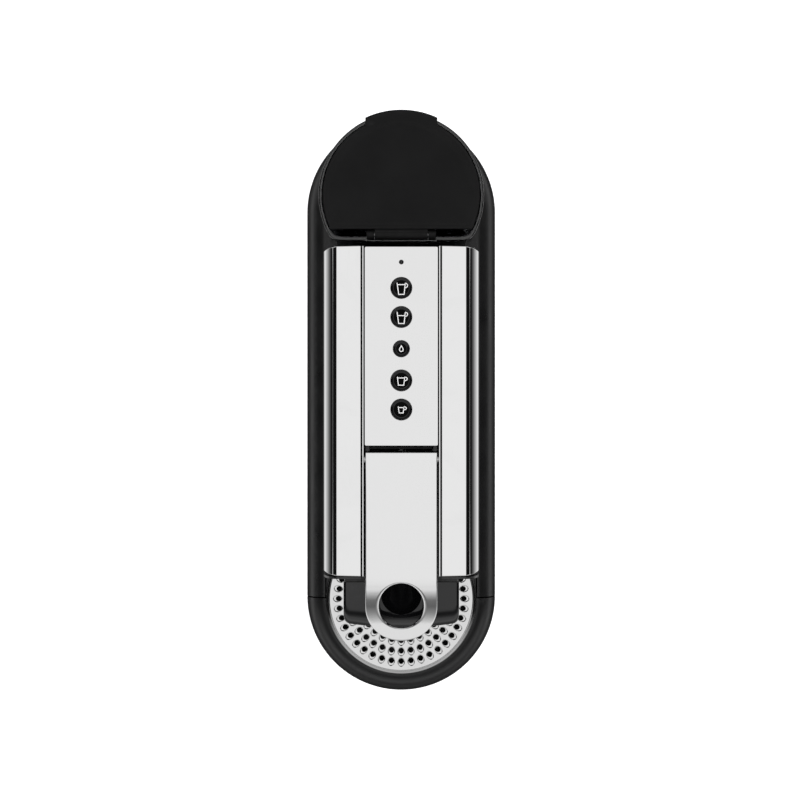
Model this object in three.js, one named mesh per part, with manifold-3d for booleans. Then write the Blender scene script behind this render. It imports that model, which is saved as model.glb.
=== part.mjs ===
// A pod coffee machine: a long, low base with round ends, a narrow body that stands on it and
// reaches forward over the cup, a lever on top, a water tank behind and a drip tray in front.
//
// Frame: millimetres, +Z up, the front (drip tray) towards -Y. The origin is on the table, under
// the middle of the base.

import * as THREE from "three";
import { mergeVertices } from "three/addons/utils/BufferGeometryUtils.js";
import Module from "manifold-3d";

const wasm = await Module();
wasm.setup();

// ---------------------------------------------------------------- driving dimensions

const GAP = 0.3; // between two pieces that rest on each other
const CLEAR = 0.6; // between two pieces that slide past each other
const WALL = 2.5; // moulded walls

// Base
const BASE_WIDTH = 130;
const BASE_LENGTH = 395;
const BASE_HEIGHT = 52;
const FOOT_HEIGHT = 3;
const FOOT_RADIUS = 8;
const FLOOR_THICKNESS = 5;
const RIM_WIDTH = 13; // the rounded shoulder round the base, seen from above
const RIM_RISE = 22; // and its height
const TOE_CHAMFER = 2;

// Screws that hold the base plate
const SCREW_SHANK = 1.6;
const SCREW_HEAD = 3;

// Body and head
const BODY_WIDTH = 97;
const BODY_TOP = 270;
const CORNER_WIDTH = 9; // the body's top corners are quarter ellipses
const CORNER_DROP = 34;
const HEAD_DEPTH = 82; // from the top down to the underside of the head
const HEAD_SETBACK = 28.2; // front of the covers, behind the centre of the drip tray
const COVER_THICKNESS = 2;
const COVER_INSTEP_RADIUS = 16; // where the head's underside meets the column
const DECK_DROP = 7; // from the top of the covers to the deck that the panel stands on
const BULKHEAD_SETBACK = 132.5; // front face of the wall between bin and pump, behind the tray's centre

// Centre strip: control panel, lever and the two rails beside them
const STRIP_WIDTH = 44.4;
const RAIL_THICKNESS = 1.1;
const RAIL_PROUD = 0.3;
const PANEL_THICKNESS = 2.5;
const PANEL_LEVER_GAP = 3.2;

// Buttons, counted from the back
const BUTTON_RADIUS = 6.45;
const WATER_BUTTON_RADIUS = 5;
const BUTTON_PROUD = 0.8;
const BUTTON_BEVEL = 1.6;
const BUTTON_TRAVEL = 1;
const BUTTON_PITCH = 17.7;
const WATER_BUTTON_PITCH = 19.3;
const FIRST_BUTTON_INSET = 25; // from the back edge of the panel
const STATUS_LIGHT_INSET = 9.3;
const STATUS_LIGHT_RADIUS = 1.2;
const BOARD_THICKNESS = 1.6;
const KEYPAD_THICKNESS = 1;

// Lever
const LEVER_WIDTH = 43.8;
const LEVER_THICKNESS = 6;
const LEVER_RISE = 2; // top of the lever above the covers
const LEVER_BARREL_RADIUS = 5.3;
const LEVER_PIN_RADIUS = 2;
const LEVER_OVERHANG = 11.3; // tip of the lever, ahead of the drip tray's centre
const LEVER_BEND_RADIUS = 50;
const LEVER_BEND_LENGTH = 38.8; // the part of the lever's length that curves down
const LEVER_HOLE_RADIUS = 13.5;
const LEVER_HOLE_FLARE = 5.4; // how much wider the hole is at the level of the hinge
const LEVER_REACH = 99.3; // from the pivot to the tray's centre line

// Nose, which carries the spout
const NOSE_WIDTH = 71.4;
const NOSE_TOP_DROP = 26; // below the covers' top
const NOSE_HEIGHT = 52;
const NOSE_OVERHANG = 5.9; // front of the nose, ahead of the tray's centre
const NOSE_BULGE = 3.7;
const NOSE_EDGE_RADIUS = 12;
const COLLAR_LENGTH = 3.6;
const FASCIA_THICKNESS = 1.6;
const SCOOP_RADIUS = 13; // the finger hollow under the lever's hole
const SPOUT_SETBACK = 10; // spout axis, behind the tray's centre
const SPOUT_RADIUS = 8;
const SPOUT_LENGTH = 18;

// Brew unit
const POD_LENGTH = 30;
const POD_SLOT_WIDTH = 39;
const CAGE_RADIUS = 21.5;
const CAGE_BORE = 17.5;
const CAGE_BACK = 4.5;
const CAGE_AXIS_DROP = 48; // brew axis below the covers' top
const OUTLET_LENGTH = 11.7;
const CHANNEL_RADIUS = 4;
const FRAME_WALL = 2.5;
const INJECTOR_RADIUS = 3;

// Gear train between lever and cage: a toothed cheek on the lever, an idler and a rack, on both sides
const TOOTH_PITCH = 6;
const LEVER_TEETH = 20; // on a full turn; the cheek carries those that mesh
const CHEEK_TEETH = 6;
const IDLER_TEETH = 8;
const TRAVEL_TEETH = 5; // a quarter turn of the lever
const PRESSURE_ANGLE = 25;
const ADDENDUM = 1.3;
const DEDENDUM = 1.7;
const BACKLASH = 0.3; // taken off each tooth
const GEAR_WIDTH = 2.5;
const JOURNAL_RADIUS = 2.5;

// Water tank
const TANK_RADIUS = 50.6;
const TANK_INSET = 4.35; // tank centre, ahead of the base's rear centre
const TANK_CHORD = 27.75; // flat front of the tank, ahead of the tank centre
const TANK_TOP_DROP = 8; // tank rim below the covers' top
const TANK_BODY_GAP = 3.6;
const TANK_FLOOR = 3;
const LID_THICKNESS = 3;
const LID_TAB_WIDTH = 44;
const LID_TAB_PROUD = 1.5;
const LID_HINGE_INSET = 3.6; // hinge axis behind the tank's flat front
const LID_BARREL_RADIUS = 3;
const LID_BARREL_LENGTH = 31;
const LID_PIN_RADIUS = 1.1;
const LID_LUG_WIDTH = 4.8;
const LID_FRONT_GAP = 1.4; // between the tank's front wall, less the barrel, and the plate
const CONNECTOR_RADIUS = 8;
const VALVE_RADIUS = 7;
const VALVE_STEM_RADIUS = 1.6;
const VALVE_LIFT = 2;
const VALVE_GUIDE_HEIGHT = 14;

// Drip tray, grille and pod bin
const GRILLE_THICKNESS = 2.5;
const GRILLE_RISE = 8; // top of the grille above the base's shoulder
const GRILLE_SKIRT = 3.4; // width of its sloping edge
const GRILLE_HOLE_RADIUS = 2.5;
const GRILLE_PITCH = 7.1;
const GRILLE_RINGS = 6;
const BAY_WIDTH = 87;
const BIN_REAR_GAP = 4; // between the drip unit's tongue and the end of its bay
const BIN_WALL = 2;
const BIN_SIDE_HEIGHT = 138;

// Pump room
const PUMP_RADIUS = 17;
const PUMP_LENGTH = 88;
const COIL_SIZE = 40;
const COIL_HEIGHT = 44;
const HEATER_SIZE = [34, 54, 92];
const METER_RADIUS = 14;
const METER_HEIGHT = 16;
const HOSE_RADIUS = 3;
const GLAND_RADIUS = 6;
const GLAND_X = -12;
const GLAND_Z = 19;

// ---------------------------------------------------------------- places that follow from them

const baseRadius = BASE_WIDTH / 2;
const trayY = -(BASE_LENGTH - BASE_WIDTH) / 2; // centre of the front round end
const rearY = -trayY; // and of the rear one
const rimRadius = baseRadius - RIM_WIDTH; // inner edge of the shoulder
const floorTop = FOOT_HEIGHT + FLOOR_THICKNESS;
const glandY = Math.sqrt(baseRadius ** 2 - GLAND_X ** 2); // wall behind the gland, from the rear centre

const tankY = rearY - TANK_INSET;
const tankFront = tankY - TANK_CHORD;
const bodyRear = tankFront - TANK_BODY_GAP;
const bodyFront = trayY + HEAD_SETBACK;
const bodyHalf = BODY_WIDTH / 2;
const flatHalf = bodyHalf - CORNER_WIDTH;
const headUnder = BODY_TOP - HEAD_DEPTH;
const coverBottom = BASE_HEIGHT + CLEAR;
const chassisBottom = BASE_HEIGHT + GAP;
const deckTop = BODY_TOP - DECK_DROP;

const grilleRadius = rimRadius - CLEAR;
const troughRear = trayY + rimRadius + 0.8; // back wall of the round tray bay
const columnFront = troughRear + 1.7;
const bulkhead = trayY + BULKHEAD_SETBACK;
const bayHalf = BAY_WIDTH / 2;
const bayRear = bulkhead - 4;

const stripHalf = STRIP_WIDTH / 2;
const railInner = stripHalf + CLEAR;
const railOuter = railInner + RAIL_THICKNESS;
const coverInner = railOuter + CLEAR;

const pivotY = trayY + LEVER_REACH;
const leverTop = BODY_TOP + LEVER_RISE;
const pivotZ = leverTop - LEVER_BARREL_RADIUS;
const leverTip = trayY - LEVER_OVERHANG;
const panelFront = pivotY + LEVER_BARREL_RADIUS + PANEL_LEVER_GAP;
const panelRear = bodyRear - CLEAR;

const brewZ = BODY_TOP - CAGE_AXIS_DROP;
const channelZ = brewZ - 14;
const podBack = pivotY - 11.8; // rear edge of the pod slot, clear of the lever's barrel
const podFront = podBack - POD_LENGTH; // mouth of the cage when it is closed
const cageRear = podFront + POD_LENGTH + CAGE_BACK;
const frameInner = CAGE_RADIUS + 2.5;

const pitchRadius = (teeth) => (TOOTH_PITCH * teeth) / (2 * Math.PI);
const gearOuter = LEVER_WIDTH / 2;
const gearInner = gearOuter - GEAR_WIDTH;
const idlerZ = pivotZ - pitchRadius(LEVER_TEETH) - pitchRadius(IDLER_TEETH);
const rackZ = idlerZ - pitchRadius(IDLER_TEETH);
const cageTravel = TRAVEL_TEETH * TOOTH_PITCH;
const rackRear = pivotY + TOOTH_PITCH;
const rackFront = rackRear - cageTravel - 2 * TOOTH_PITCH;
const frameRear = rackRear + cageTravel + 1 + FRAME_WALL;

const noseTop = BODY_TOP - NOSE_TOP_DROP;
const noseFront = trayY - NOSE_OVERHANG;
const noseRear = bodyFront - FASCIA_THICKNESS - COLLAR_LENGTH;
const spoutY = trayY + SPOUT_SETBACK;

const roomFront = bulkhead + WALL; // inside of the pump room
const roomRear = bodyRear - WALL;
const roomHalf = bodyHalf - COVER_THICKNESS - GAP - WALL;

// ---------------------------------------------------------------- shape helpers

// A closed three.js geometry as a manifold-3d solid.
function solid(geometry) {
  const bare = new THREE.BufferGeometry().setAttribute("position", geometry.getAttribute("position"));
  bare.setIndex(geometry.index);
  const merged = mergeVertices(bare, 1e-4);
  const corners = Array.from(merged.index.array);
  const triVerts = [];
  for (let i = 0; i < corners.length; i += 3) {
    const [a, b, c] = corners.slice(i, i + 3);
    if (a !== b && b !== c && c !== a) triVerts.push(a, b, c);
  }
  return new wasm.Manifold(
    new wasm.Mesh({
      numProp: 3,
      vertProperties: merged.attributes.position.array,
      triVerts: new Uint32Array(triVerts),
    }),
  );
}

// A solid as a named mesh.
function piece(name, shape, material) {
  const { numProp, numVert, vertProperties, triVerts } = shape.getMesh();
  const places = new Float32Array(numVert * 3);
  for (let i = 0; i < numVert; i++) {
    places.set(vertProperties.subarray(i * numProp, i * numProp + 3), i * 3);
  }
  const geometry = new THREE.BufferGeometry();
  geometry.setAttribute("position", new THREE.BufferAttribute(places, 3));
  geometry.setIndex(new THREE.BufferAttribute(triVerts, 1));
  geometry.computeVertexNormals();
  const mesh = new THREE.Mesh(geometry, material);
  mesh.name = name;
  return mesh;
}

const shapeOf = (points) => new THREE.Shape(points.map(([x, y]) => new THREE.Vector2(x, y)));

// Extrusions of an outline along each axis, from low to high.
const extrusion = (points, depth) =>
  new THREE.ExtrudeGeometry(shapeOf(points), { depth, bevelEnabled: false });

function alongZ(points, low, high) {
  return solid(extrusion(points, high - low).translate(0, 0, low));
}

function alongY(points, low, high) {
  return solid(extrusion(points, high - low).rotateX(Math.PI / 2).translate(0, high, 0));
}

function alongX(points, low, high) {
  const geometry = extrusion(points, high - low);
  const turn = new THREE.Matrix4().makeBasis(
    new THREE.Vector3(0, 1, 0),
    new THREE.Vector3(0, 0, 1),
    new THREE.Vector3(1, 0, 0),
  );
  return solid(geometry.applyMatrix4(turn).translate(low, 0, 0));
}

// A box from its lowest to its highest corner.
function box([x0, y0, z0], [x1, y1, z1]) {
  const geometry = new THREE.BoxGeometry(x1 - x0, y1 - y0, z1 - z0);
  return solid(geometry.translate((x0 + x1) / 2, (y0 + y1) / 2, (z0 + z1) / 2));
}

// A profile of [radius, height] pairs turned about +Z.
function turned(profile, segments = 32) {
  const points = profile.map(([r, z]) => new THREE.Vector2(r, z));
  return solid(new THREE.LatheGeometry(points, segments).rotateX(Math.PI / 2));
}

function cylinder(radius, low, high, segments = 24) {
  return turned([[0, low], [radius, low], [radius, high], [0, high]], segments);
}

// Cylinders that lie along X or Y.
const cylinderX = (radius, low, high, sides) => cylinder(radius, low, high, sides).rotate([0, 90, 0]);
const cylinderY = (radius, low, high, sides) => cylinder(radius, -high, -low, sides).rotate([90, 0, 0]);

// Points of an arc of an ellipse, angles in degrees.
function arc(cx, cy, rx, ry, from, to, steps) {
  const points = [];
  for (let i = 0; i <= steps; i++) {
    const angle = THREE.MathUtils.degToRad(from + ((to - from) * i) / steps);
    points.push([cx + rx * Math.cos(angle), cy + ry * Math.sin(angle)]);
  }
  return points;
}

// A tube along a smooth curve through the given points.
function hose(points, radius) {
  const path = new THREE.CatmullRomCurve3(points.map((p) => new THREE.Vector3(...p)));
  const section = new THREE.Shape().absarc(0, 0, radius, 0, 2 * Math.PI);
  const steps = Math.ceil(path.getLength() / (5 * radius));
  return solid(new THREE.ExtrudeGeometry(section, { extrudePath: path, steps, curveSegments: 4 }));
}

// ---------------------------------------------------------------- materials

const finish = (color, roughness, metalness) =>
  new THREE.MeshStandardMaterial({ color, roughness, metalness });
const blackPlastic = finish(0x1c1c1e, 0.5, 0);
const glossBlack = finish(0x08080a, 0.12, 0);
const chrome = finish(0xe6e6e8, 0.1, 1);
const satinMetal = finish(0xd8d8da, 0.28, 1);
const steel = finish(0xb8babd, 0.3, 1);
const aluminium = finish(0xa8aaad, 0.45, 1);
const rubber = finish(0x141414, 0.9, 0);
const silicone = finish(0xdad8d0, 0.6, 0);
const smokedPlastic = new THREE.MeshStandardMaterial({
  color: 0x2a2c30,
  roughness: 0.08,
  metalness: 0,
  transparent: true,
  opacity: 0.45,
});
const circuitBoard = finish(0x1e5a36, 0.6, 0);
const whitePlastic = finish(0xe4e2dc, 0.5, 0);
const brass = finish(0xb08d57, 0.35, 1);

// ---------------------------------------------------------------- base

// Half outline of the base: up the wall and over the rounded shoulder to the middle.
function baseProfile() {
  const shoulder = arc(rimRadius, BASE_HEIGHT - RIM_RISE, RIM_WIDTH, RIM_RISE, 0, 90, 7);
  return [
    [0, FOOT_HEIGHT],
    [baseRadius - TOE_CHAMFER, FOOT_HEIGHT],
    [baseRadius, FOOT_HEIGHT + TOE_CHAMFER],
    ...shoulder,
    [0, BASE_HEIGHT],
  ];
}

const baseEnd = (y) => turned(baseProfile(), 48).translate([0, y, 0]);

function baseStraight(low, high) {
  const half = baseProfile();
  const other = half.slice(1, -1).reverse().map(([x, z]) => [-x, z]);
  return alongY([...half.slice(1, -1), ...other], low, high);
}

// The hollow under the rear of the base, which the base plate closes.
function basePocket(inset, low, high) {
  const radius = baseRadius - inset;
  const front = bayRear + 4 + (inset - WALL);
  return cylinder(radius, low, high, 40)
    .translate([0, rearY, 0])
    .add(box([-radius, front, low], [radius, rearY, high]));
}

function baseHousing() {
  const shoulderStart = BASE_HEIGHT - RIM_RISE;
  const bays = box([-rimRadius, trayY - 1, floorTop], [rimRadius, troughRear, BASE_HEIGHT + 1]).add(
    box([-bayHalf, troughRear - 1, floorTop], [bayHalf, bayRear, BASE_HEIGHT + 1]),
  );
  const hoseWindow = box([-26, bulkhead + 20, BASE_HEIGHT - 9], [26, bulkhead + 62, BASE_HEIGHT + 1]);
  const glandHole = cylinderY(GLAND_RADIUS + GAP, glandY - 20, glandY + 5, 16);
  const connectorHole = cylinder(CONNECTOR_RADIUS + GAP, BASE_HEIGHT - 9, BASE_HEIGHT + 1, 20);
  return baseStraight(trayY + CLEAR, rearY)
    .add(baseEnd(rearY))
    .subtract(bays)
    .subtract(basePocket(WALL, FOOT_HEIGHT - 1, shoulderStart))
    .subtract(basePocket(RIM_WIDTH + WALL, shoulderStart - 1, BASE_HEIGHT - 4))
    .subtract(hoseWindow)
    .subtract(glandHole.translate([GLAND_X, rearY, GLAND_Z]))
    .subtract(connectorHole.translate([0, tankY, 0]));
}

function basePlate(screws) {
  let plate = basePocket(WALL + GAP, FOOT_HEIGHT, FOOT_HEIGHT + 3);
  for (const [x, y] of screws) {
    plate = plate.subtract(cylinder(SCREW_SHANK + GAP, 0, 10, 12).translate([x, y, 0]));
    plate = plate.subtract(cylinder(SCREW_HEAD + GAP, 0, FOOT_HEIGHT + 1.9, 12).translate([x, y, 0]));
  }
  return plate;
}

// A pan-head screw that stands on its head at z = 0.
function screw(length) {
  const profile = [
    [0, 0],
    [SCREW_HEAD, 0],
    [SCREW_HEAD, 1],
    [SCREW_SHANK, 1.6],
    [SCREW_SHANK, length],
    [0, length],
  ];
  return turned(profile, 12);
}

function foot() {
  const top = FOOT_HEIGHT - GAP;
  return turned([[0, 0], [FOOT_RADIUS - 0.8, 0], [FOOT_RADIUS, 0.8], [FOOT_RADIUS, top], [0, top]], 20);
}

// A flanged sleeve for the mains lead, its mouth towards +Y.
function cordGland() {
  const bore = 3.6;
  const profile = [
    [bore, -12],
    [GLAND_RADIUS + 2, -12],
    [GLAND_RADIUS + 2, -9.6],
    [GLAND_RADIUS, -9.6],
    [GLAND_RADIUS, 0],
    [GLAND_RADIUS - 1.2, 3],
    [bore, 3],
    [bore, -12],
  ];
  return turned(profile, 16).rotate([-90, 0, 0]);
}

// ---------------------------------------------------------------- body

// The body's outline in x and z, pulled in by the given insets, from one bottom corner to the other.
function bodyOutline(insetX, insetZ, bottom) {
  const rx = CORNER_WIDTH - insetX;
  const rz = CORNER_DROP - insetZ;
  const right = arc(flatHalf, BODY_TOP - CORNER_DROP, rx, rz, 0, 90, 8);
  const left = right.map(([x, z]) => [-x, z]).reverse();
  return [[right[0][0], bottom], ...right, ...left, [left.at(-1)[0], bottom]];
}

// The corner of the body's side below the head and ahead of the column, with a rounded instep.
function insideCorner(front, instep, underside, radius) {
  const turn = arc(instep - radius, underside - radius, radius, radius, 0, 90, 6);
  const outline = [[front, 0], [instep, 0], ...turn, [front, underside]];
  return alongX(outline, -bodyHalf - 1, bodyHalf + 1);
}

function chassis() {
  const inset = COVER_THICKNESS + GAP;
  const shell = alongY(bodyOutline(inset, DECK_DROP, chassisBottom), bodyFront, bodyRear).subtract(
    insideCorner(bodyFront - 1, columnFront, headUnder, COVER_INSTEP_RADIUS),
  );
  const hollow = bodyOutline(inset + WALL, DECK_DROP + WALL, headUnder + WALL);
  const headRoom = alongY(hollow, bodyFront + WALL, roomRear);
  const pumpRoom = box(
    [-roomHalf, roomFront, chassisBottom + WALL],
    [roomHalf, roomRear, headUnder + WALL + 1],
  );
  const binBay = box([-bayHalf - CLEAR, columnFront - 1, 0], [bayHalf + CLEAR, bulkhead, headUnder]);
  const podSlot = box(
    [-POD_SLOT_WIDTH / 2, podFront - 0.5, deckTop - 2 * WALL],
    [POD_SLOT_WIDTH / 2, podBack, deckTop + 1],
  );
  const podChute = box(
    [-POD_SLOT_WIDTH / 2 - 1, podFront, headUnder - 1],
    [POD_SLOT_WIDTH / 2 + 1, podBack, headUnder + WALL + 1],
  );
  const barrelRoom = box(
    [-stripHalf, podBack - 1, deckTop - 2 * WALL],
    [stripHalf, pivotY + LEVER_BARREL_RADIUS + 1, deckTop + 1],
  );
  const cheekReach = pitchRadius(LEVER_TEETH) + ADDENDUM + 1;
  const cheekSlot = box(
    [gearInner - 0.6, pivotY - cheekReach, deckTop - 2 * WALL],
    [stripHalf, pivotY + cheekReach, deckTop + 1],
  );
  const hoseWindow = box([-24, bulkhead + 22, 0], [24, bulkhead + 60, chassisBottom + WALL + 1]);
  const channelHole = cylinderY(CHANNEL_RADIUS + GAP, bodyFront - 1, bodyFront + 2 * WALL, 16);
  return shell
    .subtract(headRoom)
    .subtract(pumpRoom)
    .subtract(binBay)
    .subtract(podSlot)
    .subtract(podChute)
    .subtract(barrelRoom)
    .subtract(cheekSlot)
    .subtract(cheekSlot.mirror([1, 0, 0]))
    .subtract(channelHole.translate([0, 0, channelZ]))
    .subtract(hoseWindow);
}

// One chrome side cover: over the top corner and down the whole side. side is 1 or -1.
function sideCover(side) {
  const outer = alongY(bodyOutline(0, 0, coverBottom), bodyFront, bodyRear);
  const inner = alongY(bodyOutline(COVER_THICKNESS, COVER_THICKNESS, 0), bodyFront - 1, bodyRear + 1);
  const half = box([coverInner, -BASE_LENGTH, 0], [bodyHalf + 1, BASE_LENGTH, BODY_TOP + 1]);
  const under = insideCorner(bodyFront - 1, columnFront, headUnder, COVER_INSTEP_RADIUS);
  const lip = box([coverInner, bodyFront, BODY_TOP - 4.5], [coverInner + 1.4, bodyRear, BODY_TOP - 1]);
  const right = outer.subtract(inner).intersect(half).subtract(under).add(lip);
  return side > 0 ? right : right.mirror([1, 0, 0]);
}

// A steel rail beside the panel and the lever. It carries one end of the lever's pin.
function rail() {
  const bar = box([0, bodyFront, deckTop + GAP], [RAIL_THICKNESS, bodyRear, BODY_TOP + RAIL_PROUD]);
  const pinHole = cylinderX(LEVER_PIN_RADIUS + GAP, -1, RAIL_THICKNESS + 1, 20);
  return bar.subtract(pinHole.translate([0, pivotY, pivotZ]));
}

// ---------------------------------------------------------------- control panel

// Each button: its name, its place along the panel and its radius.
function buttonList() {
  const first = panelRear - FIRST_BUTTON_INSET;
  const water = first - BUTTON_PITCH - WATER_BUTTON_PITCH;
  return [
    { name: "button_mug", y: first, radius: BUTTON_RADIUS },
    { name: "button_tall_cup", y: first - BUTTON_PITCH, radius: BUTTON_RADIUS },
    { name: "button_hot_water", y: water, radius: WATER_BUTTON_RADIUS },
    { name: "button_cup", y: water - WATER_BUTTON_PITCH, radius: BUTTON_RADIUS },
    { name: "button_small_cup", y: water - WATER_BUTTON_PITCH - BUTTON_PITCH, radius: BUTTON_RADIUS },
  ];
}

const buttons = buttonList();
const boardTop = deckTop + GAP + BOARD_THICKNESS;
const keypadTop = boardTop + GAP + KEYPAD_THICKNESS;
const statusLightY = panelRear - STATUS_LIGHT_INSET;
const boardFront = pivotY + pitchRadius(LEVER_TEETH) + ADDENDUM + 1; // clear of the lever's cheeks

function controlPanel() {
  let panel = box([-stripHalf, panelFront, BODY_TOP - PANEL_THICKNESS], [stripHalf, panelRear, BODY_TOP]);
  for (const { y, radius } of buttons) {
    panel = panel.subtract(cylinder(radius + GAP, 0, BODY_TOP + 1, 28).translate([0, y, 0]));
  }
  const lightHole = cylinder(STATUS_LIGHT_RADIUS + GAP, 0, BODY_TOP + 1, 12);
  return panel.subtract(lightHole.translate([0, statusLightY, 0]));
}

// A bevelled cap above the keypad, with room for its travel; z = 0 is the panel's top.
function button(radius) {
  const bottom = keypadTop + GAP + BUTTON_TRAVEL - BODY_TOP;
  const profile = [
    [0, bottom],
    [radius, bottom],
    [radius, BUTTON_PROUD / 2],
    [radius - BUTTON_BEVEL, BUTTON_PROUD],
    [0, BUTTON_PROUD],
  ];
  return turned(profile, 28);
}

function board(low, high, thickness) {
  return box([-stripHalf + 1, low, 0], [stripHalf - 1, high, thickness]);
}

// ---------------------------------------------------------------- gear teeth, in the y-z plane

const pressure = THREE.MathUtils.degToRad(PRESSURE_ANGLE);

// One involute tooth of a wheel, centred on an angle, from one root to the other.
function wheelTooth(teeth, degrees) {
  const radius = pitchRadius(teeth);
  const base = radius * Math.cos(pressure);
  const involute = (r) => Math.tan(Math.acos(base / r)) - Math.acos(base / r);
  const half = (r) => (TOOTH_PITCH / 2 - BACKLASH) / (2 * radius) + involute(radius) - involute(r);
  const low = Math.max(base, radius - DEDENDUM);
  const centre = THREE.MathUtils.degToRad(degrees);
  const flank = [[radius - DEDENDUM, half(low)]];
  for (let i = 0; i <= 3; i++) {
    const r = low + ((radius + ADDENDUM - low) * i) / 3;
    flank.push([r, half(r)]);
  }
  const rising = flank.map(([r, a]) => [r * Math.cos(centre - a), r * Math.sin(centre - a)]);
  const falling = flank.map(([r, a]) => [r * Math.cos(centre + a), r * Math.sin(centre + a)]);
  return [...rising, ...falling.reverse()];
}

// The teeth of a wheel, side by side, the first one centred on an angle.
function wheelTeeth(teeth, first, count) {
  const points = [];
  for (let i = 0; i < count; i++) points.push(...wheelTooth(teeth, first + (360 / teeth) * i));
  return points;
}

// A straight rack, teeth up, its pitch line at z = 0, with a space centred on y = 0.
function rackOutline(front, rear, depth) {
  const slope = Math.tan(pressure);
  const half = TOOTH_PITCH / 4 - BACKLASH / 2;
  const points = [[rear, -depth], [rear, -DEDENDUM]];
  for (let y = rear - TOOTH_PITCH / 2; y > front; y -= TOOTH_PITCH) {
    points.push([y + half + DEDENDUM * slope, -DEDENDUM], [y + half - ADDENDUM * slope, ADDENDUM]);
    points.push([y - half + ADDENDUM * slope, ADDENDUM], [y - half - DEDENDUM * slope, -DEDENDUM]);
  }
  return [...points, [front, -DEDENDUM], [front, -depth]];
}

// ---------------------------------------------------------------- lever, in a frame on its pivot

const leverHoleY = trayY + 10 - pivotY;

function leverSide(inset) {
  const bendStart = leverTip - pivotY + LEVER_BEND_LENGTH;
  const radius = LEVER_BEND_RADIUS - inset;
  const top = LEVER_BARREL_RADIUS - inset;
  const sweep = THREE.MathUtils.radToDeg(Math.asin((LEVER_BEND_LENGTH + 1) / radius));
  return [[0, top], ...arc(bendStart, top - radius, radius, radius, 90, 90 + sweep, 9)];
}

function lever() {
  const tip = leverTip - pivotY;
  const half = LEVER_WIDTH / 2;
  const side = [...leverSide(0), ...leverSide(LEVER_THICKNESS).reverse()];
  const plan = [[half, 4], ...arc(0, tip + half, half, half, 0, -180, 20), [-half, 4]];
  const bar = alongX(side, -half, half).intersect(alongZ(plan.reverse(), -60, 20));
  const hole = cylinder(LEVER_HOLE_RADIUS, -60, 20, 32);
  const chamferTop = LEVER_BARREL_RADIUS + 1;
  const narrow = LEVER_HOLE_RADIUS - 1;
  const wide = LEVER_HOLE_RADIUS + LEVER_HOLE_FLARE;
  const chamfer = turned([[0, -9], [narrow, -9], [wide, chamferTop], [0, chamferTop]], 32);
  const barrel = cylinderX(LEVER_BARREL_RADIUS, -half, half, 24);
  const toothAngle = 360 / LEVER_TEETH;
  const sector = [[0, 0], ...wheelTeeth(LEVER_TEETH, -90 - toothAngle / 2, CHEEK_TEETH)];
  const cheek = alongX(sector, gearInner, gearOuter);
  return bar
    .add(barrel)
    .add(cheek)
    .add(cheek.mirror([1, 0, 0]))
    .subtract(hole.add(chamfer).translate([0, leverHoleY, 0]))
    .subtract(cylinderX(LEVER_PIN_RADIUS + GAP, -half - 1, half + 1, 20));
}

// ---------------------------------------------------------------- fascia, nose and spout

function fascia() {
  const rear = bodyFront - GAP;
  const front = bodyFront - FASCIA_THICKNESS;
  const plate = alongY(bodyOutline(0.6, 0.6, headUnder + 0.6), front, rear);
  const leverRoom = box([-coverInner, front - 1, deckTop], [coverInner, rear + 1, BODY_TOP + 5]);
  const half = NOSE_WIDTH / 2 - 0.8;
  const collar = box([-half, noseRear + GAP, noseTop - NOSE_HEIGHT + 1], [half, front, noseTop - 1]);
  const channelHole = cylinderY(CHANNEL_RADIUS + GAP, noseRear - 1, rear + 1, 16).translate([0, 0, channelZ]);
  return plate.subtract(leverRoom).add(collar).subtract(channelHole);
}

// The block ahead of the head: a gently bowed front, rounded edges and a hollow for a finger.
function nose() {
  const half = NOSE_WIDTH / 2;
  const corner = 6;
  const cornerY = noseFront + NOSE_BULGE + corner;
  const bow = [];
  for (let i = 1; i < 8; i++) {
    const x = (half - corner) * (1 - i / 4);
    bow.push([x, noseFront + NOSE_BULGE * (x / (half - corner)) ** 2]);
  }
  const plan = [
    [half, noseRear],
    [-half, noseRear],
    ...arc(-half + corner, cornerY, corner, corner, 180, 270, 4),
    ...bow.reverse(),
    ...arc(half - corner, cornerY, corner, corner, 270, 360, 4),
  ];
  const low = noseTop - NOSE_HEIGHT;
  const reach = NOSE_EDGE_RADIUS;
  const side = [
    [noseRear, low],
    [noseRear, noseTop],
    ...arc(noseFront + reach, noseTop - reach, reach, reach, 90, 180, 6),
    ...arc(noseFront + 2 * reach, low + 2 * reach, 2 * reach, 2 * reach, 180, 270, 6),
  ];
  const scoopEnd = leverHoleY + pivotY + 5.5;
  const scoop = cylinderY(SCOOP_RADIUS, scoopEnd, noseRear + 5, 24).add(
    solid(new THREE.SphereGeometry(SCOOP_RADIUS, 24, 12).rotateX(Math.PI / 2)).translate([0, scoopEnd, 0]),
  );
  const spoutHole = cylinder(SPOUT_RADIUS + GAP, low - 1, low + 6, 24)
    .add(cylinder(CHANNEL_RADIUS, low, channelZ, 16))
    .translate([0, spoutY, 0]);
  const channelHole = cylinderY(CHANNEL_RADIUS + GAP, spoutY, noseRear + 1, 16).translate([0, 0, channelZ]);
  return alongZ(plan.reverse(), low - 1, noseTop + 1)
    .intersect(alongX(side.reverse(), -half - 1, half + 1))
    .subtract(scoop.translate([0, 0, noseTop + 3]))
    .subtract(spoutHole)
    .subtract(channelHole);
}

// The spout: a tapering tube whose root sits in the nose. z = 0 is the nose's underside.
function spout() {
  const bore = 3;
  const profile = [
    [bore, -SPOUT_LENGTH],
    [SPOUT_RADIUS - 2.5, -SPOUT_LENGTH],
    [SPOUT_RADIUS - 0.5, -2],
    [SPOUT_RADIUS, 0],
    [SPOUT_RADIUS, 5],
    [bore, 5],
    [bore, -SPOUT_LENGTH],
  ];
  return turned(profile, 24);
}

// ---------------------------------------------------------------- brew unit

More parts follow.
